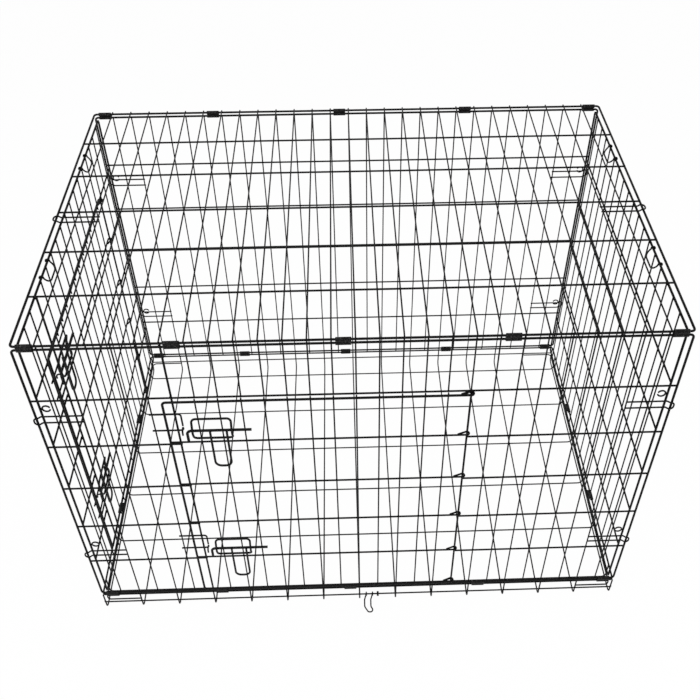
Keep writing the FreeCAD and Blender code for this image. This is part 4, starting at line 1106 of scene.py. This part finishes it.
class CRATE_OT_clips(Operator):
    """Fold the sheet clips round neighbouring border wires"""
    bl_idname = "crate.clips"
    bl_label = "Clips"
    bl_options = {"REGISTER", "UNDO"}

    def execute(self, context):
        crate, plan = crate_and_plan(context)
        fittings, front, coat = crate.fittings, plan.walls["front"], bpy.data.materials["clip_coat"]
        span, spacing = fittings.clip_length, fittings.clip_spaces * front.pitch
        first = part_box("top_front_clips")[0].x + plan.side_x
        middle = front.pitch * (front.spaces / 2 - 0.5 - fittings.clip_spaces) - span / 2
        places = ((first, 1), (middle, MIDDLE_CLIPS), (front.wide - span - first, 1))
        hinge_step = front.face.start.z - plan.rim_z

        def put(name, node, meshes):
            """Piece of folded sheet on the frame."""
            put_piece(name, meshes, "clip_coat", "frame", [node])

        for name, side, z in (("top_front", -1, plan.high_z), ("top_back", 1, plan.high_z),
                              ("base_front", -1, plan.rim_z), ("base_back", 1, plan.rim_z)):
            meshes = []
            for place, count in places:
                start = Vector((place - plan.side_x, side * plan.front_y, z))
                clip = clip_mesh(crate, start, Z, side * Y, X, hinge_step)
                meshes.append(from_tree(clip, "clip_row", count=count, step=spacing * X, material=coat))
            put(f"{name}_folded_clips", f"{name}_clips", meshes)
        for name, x in (("left", -plan.side_x), ("right", plan.end_x)):
            node = f"{name}_hinge_clips"
            low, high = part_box(node)
            clip = clip_mesh(crate, Vector((x, low.y, plan.rim_z)), X, Z, Y, plan.side_x - plan.end_x)
            mesh = from_tree(clip, "clip_row", count=2, step=(high.y - low.y - span) * Y, material=coat)
            put(f"{name}_folded_hinges", node, [mesh])
        return {"FINISHED"}


def stop_run(crate, plan):
    """Pan stop: two legs that are curled round the tray's front wire, bowed, and joined at their ends."""
    sizes, fittings = crate.wires, crate.fittings
    reach = (sizes.floor + sizes.stop) / 2 + crate.panels.gap

    def around(radius, eighths):
        """Place round the front wire, in eighths of a turn from the curl's free end."""
        angle = -(1 + eighths) * math.pi / 4
        return radius * Vector((0, -math.cos(angle), math.sin(angle)))

    root, away = around(reach, STOP_CURL_EIGHTHS), -(Y + Z).normalized() * fittings.stop_length
    leg = [(around(reach, 0), 0)]
    leg += [(around(reach * OCTAGON, step + 0.5), reach * FULL_BEND) for step in range(STOP_CURL_EIGHTHS)]
    leg += [(root + part * away - fittings.stop_bow * X, fittings.stop_curve) for part in STOP_BOWED_AT]
    leg.append((root + away + fittings.stop_lip * X, fittings.stop_bend))
    near = Vector((fittings.stop_place, -plan.front_y - sizes.floor, plan.guard_z))
    far = near + fittings.stop_width * X
    points = [near + offset for offset, bend in leg] + [far + offset for offset, bend in reversed(leg)]
    bends = [bend for offset, bend in leg]
    return Run(points, bends + bends[::-1])


def collar_mesh(crate):
    """Crimped collar on the tray's front wire, turned from a section with softened corners."""
    low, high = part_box("pan_stop_collar")
    centre, half = (low + high) / 2, (high.x - low.x) / 2
    outer, inner, soft = (high.z - low.z) / 2, crate.wires.floor / 2, half * COLLAR_SOFT
    section = [(-half + soft, inner), (-half, inner + soft), (-half, outer - soft), (-half + soft, outer),
               (half - soft, outer), (half, outer - soft), (half, inner + soft), (half - soft, inner)]
    shell = bmesh.new()
    ring = [shell.verts.new(centre + along * X + radius * Z) for along, radius in section]
    edges = [shell.edges.new((ring[index - 1], ring[index])) for index in range(len(ring))]
    bmesh.ops.spin(shell, geom=ring + edges, cent=centre, axis=X, angle=2 * math.pi, steps=COLLAR_STEPS,
                   use_merge=True)
    bmesh.ops.remove_doubles(shell, verts=shell.verts, dist=SAME_POINT)
    bmesh.ops.recalc_face_normals(shell, faces=shell.faces)
    return smooth_mesh(shell)


class CRATE_OT_pan_stop(Operator):
    """Build the pan stop and its collar on the tray's front wire"""
    bl_idname = "crate.pan_stop"
    bl_label = "Pan stop"
    bl_options = {"REGISTER", "UNDO"}

    def execute(self, context):
        crate, plan = crate_and_plan(context)
        put_wires(crate, "pan_stop_loop", "pan_stop", "pan_stop", crate.wires.stop, [stop_run(crate, plan)])
        put_piece("pan_stop_ring", [collar_mesh(crate)], "clip_coat", "frame",
                  ["pan_stop_collar"])
        return {"FINISHED"}


class CRATE_OT_welds(Operator):
    """Set a weld bead on each crossing of the panels, doors and tray"""
    bl_idname = "crate.welds"
    bl_label = "Welds"
    bl_options = {"REGISTER", "UNDO"}

    def execute(self, context):
        crate, plan = crate_and_plan(context)
        for name, wall in plan.walls.items():
            put_piece(f"{name}_panel_welds", self.panel_beads(crate, wall), "weld_coat", wall.body)
        for side in DOOR_SIDES:
            wall = plan.walls[side]
            points = [wall.face.at((wall.latch + 1) * wall.pitch, plan.door_back, height)
                      for height in door_heights(crate, wall)]
            mesh = beads_of(crate, points, wall.face.out, wall.hinge - wall.latch - 1,
                            wall.pitch * wall.face.along)
            put_piece(f"{side}_door_welds", [mesh], "weld_coat", f"{side}_door")
        put_piece("tray_welds", self.tray_beads(crate, plan), "weld_coat", "frame")
        return {"FINISHED"}

    def panel_beads(self, crate, wall):
        """Beads where a panel's uprights and latch post cross its other wires."""
        face, levels, out = wall.face, crate.panels.levels, wall.side * crate.wires.border / 2
        beads = []
        for first, foot, head, count in upright_rows(crate, wall):
            start = 0 if foot < 0 else levels - 1
            point = face.at(first * wall.pitch, out, start * wall.level)
            beads.append(beads_of(crate, [point], face.out, count, wall.pitch * face.along,
                                  levels + 1 - start, wall.level * face.up))
        if wall.hinge:
            point = face.at(wall.latch * wall.pitch, out, 0)
            beads.append(beads_of(crate, [point], face.out, rows=levels + 1, row_step=wall.level * face.up,
                                  scale=POST_BEAD))
        return beads

    def tray_beads(self, crate, plan):
        """Beads where the tray's floor wires cross each other and the guards."""
        wire, panels, step = crate.wires.floor, crate.panels, plan.floor_step * X
        columns, rows, row_step = panels.spaces // 2, panels.floor_rows, panels.floor_pitch * Y
        start = Vector((plan.floor_step - plan.side_x, plan.floor_first, wire))
        beads = [beads_of(crate, [start], Z, columns - 1, step, rows, row_step)]
        for side in (-1, 1):
            start = Vector((-plan.side_x, side * (plan.front_y + wire / 2), plan.guard_z))
            beads.append(beads_of(crate, [start], Y, columns + 1, step))
            start = Vector((side * (plan.side_x - wire / 2), plan.floor_first, plan.guard_z))
            beads.append(beads_of(crate, [start], X, rows, row_step))
        return beads


def background_seen(tree):
    """Whether the camera sees the background, straight, in a gloss or through glass."""
    path = add_node(tree, "ShaderNodeLightPath").outputs
    straight = calculate(tree, "MAXIMUM", path["Is Camera Ray"], path["Is Transmission Ray"])
    return calculate(tree, "MAXIMUM", straight, path["Is Glossy Ray"])


class CRATE_OT_stage(Operator):
    """Set up the floor, the lamps and the camera"""
    bl_idname = "crate.stage"
    bl_label = "Stage"
    bl_options = {"REGISTER", "UNDO"}

    def execute(self, context):
        crate, plan = crate_and_plan(context)
        stage, scene = crate.stage, context.scene
        scene.view_settings.view_transform = "Standard"
        self.lay_floor(scene, stage)
        self.light_sky(scene, stage)
        self.hang_lamps(scene, stage, plan.high_z / 2 * Z)
        self.place_camera(scene, stage)
        return {"FINISHED"}

    def lay_floor(self, scene, stage):
        """Pale floor, which the camera sees as nearly plain white."""
        coat = bpy.data.materials.new("pale_floor")
        tree = emptied_tree(coat)
        lit = add_node(tree, "ShaderNodeBsdfDiffuse", {"Color": (*stage.floor, 1)})
        glow = add_node(tree, "ShaderNodeEmission", {"Color": WHITE, "Strength": stage.white})
        share_seen = calculate(tree, "MULTIPLY", background_seen(tree), stage.glow)
        mix = add_node(tree, "ShaderNodeMixShader", {0: share_seen, 1: lit.outputs[0], 2: glow.outputs[0]})
        add_node(tree, "ShaderNodeOutputMaterial", {"Surface": mix.outputs[0]})
        shell = bmesh.new()
        bmesh.ops.create_grid(shell, x_segments=1, y_segments=1, size=FLOOR_HALF)
        mesh = bpy.data.meshes.new("studio_floor")
        shell.to_mesh(mesh)
        shell.free()
        mesh.materials.append(coat)
        floor = bpy.data.objects.new("studio_floor", mesh)
        scene.collection.objects.link(floor)

    def light_sky(self, scene, stage):
        """Even light from all round, which the camera sees as plain white."""
        scene.world = bpy.data.worlds.new("studio_sky")
        tree = emptied_tree(scene.world)
        light = add_node(tree, "ShaderNodeBackground", {"Color": WHITE, "Strength": stage.sky})
        white = add_node(tree, "ShaderNodeBackground", {"Color": WHITE, "Strength": stage.white})
        mix = add_node(tree, "ShaderNodeMixShader", {
            0: background_seen(tree), 1: light.outputs[0], 2: white.outputs[0]})
        add_node(tree, "ShaderNodeOutputWorld", {"Surface": mix.outputs[0]})

    def hang_lamps(self, scene, stage, middle):
        """Two large soft lamps that face the middle of the crate."""
        for lamp in LAMPS:
            light = bpy.data.lights.new(lamp.name, "AREA")
            light.energy, light.size = getattr(stage, lamp.power), lamp.size
            holder = bpy.data.objects.new(lamp.name, light)
            holder.location = lamp.place
            holder.rotation_euler = (middle - Vector(lamp.place)).to_track_quat("-Z", "Y").to_euler()
            scene.collection.objects.link(holder)

    def place_camera(self, scene, stage):
        """Upright camera that looks down at its target."""
        camera = bpy.data.cameras.new("studio_camera")
        camera.lens, camera.shift_x = stage.lens, stage.shift
        turned = Euler((math.pi / 2 - stage.elevation, 0, -stage.azimuth)).to_matrix()
        place = Vector(stage.target) + stage.distance * (turned @ Z)
        viewer = bpy.data.objects.new("studio_camera", camera)
        viewer.matrix_world = Matrix.Translation(place) @ turned.to_4x4()
        scene.collection.objects.link(viewer)
        scene.camera = viewer


OPERATORS = (CRATE_OT_finishes, CRATE_OT_tray, CRATE_OT_panels, CRATE_OT_doors, CRATE_OT_latches,
             CRATE_OT_hooks, CRATE_OT_clips, CRATE_OT_pan_stop, CRATE_OT_welds, CRATE_OT_stage)


class CRATE_PT_sidebar(Panel):
    """Operators and settings of the crate"""
    bl_idname = "CRATE_PT_sidebar"
    bl_label = "Folding Wire Crate"
    bl_space_type = "VIEW_3D"
    bl_region_type = "UI"
    bl_category = "Crate"

    def draw(self, context):
        for operator in OPERATORS:
            self.layout.operator(operator.bl_idname)
        crate = context.scene.crate
        for group in (crate.wires, crate.panels, crate.doors, crate.fittings, crate.finish, crate.stage):
            box = self.layout.box()
            for key in group.__annotations__:
                box.prop(group, key)


CLASSES = (WireSizes, PanelLayout, DoorSizes, FittingSizes, CoatFinish, StageSettings, CrateSettings,
           *OPERATORS, CRATE_PT_sidebar)


def register():
    for item in CLASSES:
        bpy.utils.register_class(item)
    bpy.types.Scene.crate = PointerProperty(type=CrateSettings)


def unregister():
    del bpy.types.Scene.crate
    for item in reversed(CLASSES):
        bpy.utils.unregister_class(item)


def main():
    """Build every piece."""
    register()
    for operator in OPERATORS:
        group, name = operator.bl_idname.split(".")
        getattr(getattr(bpy.ops, group), name)()


if __name__ == "__main__":
    main()
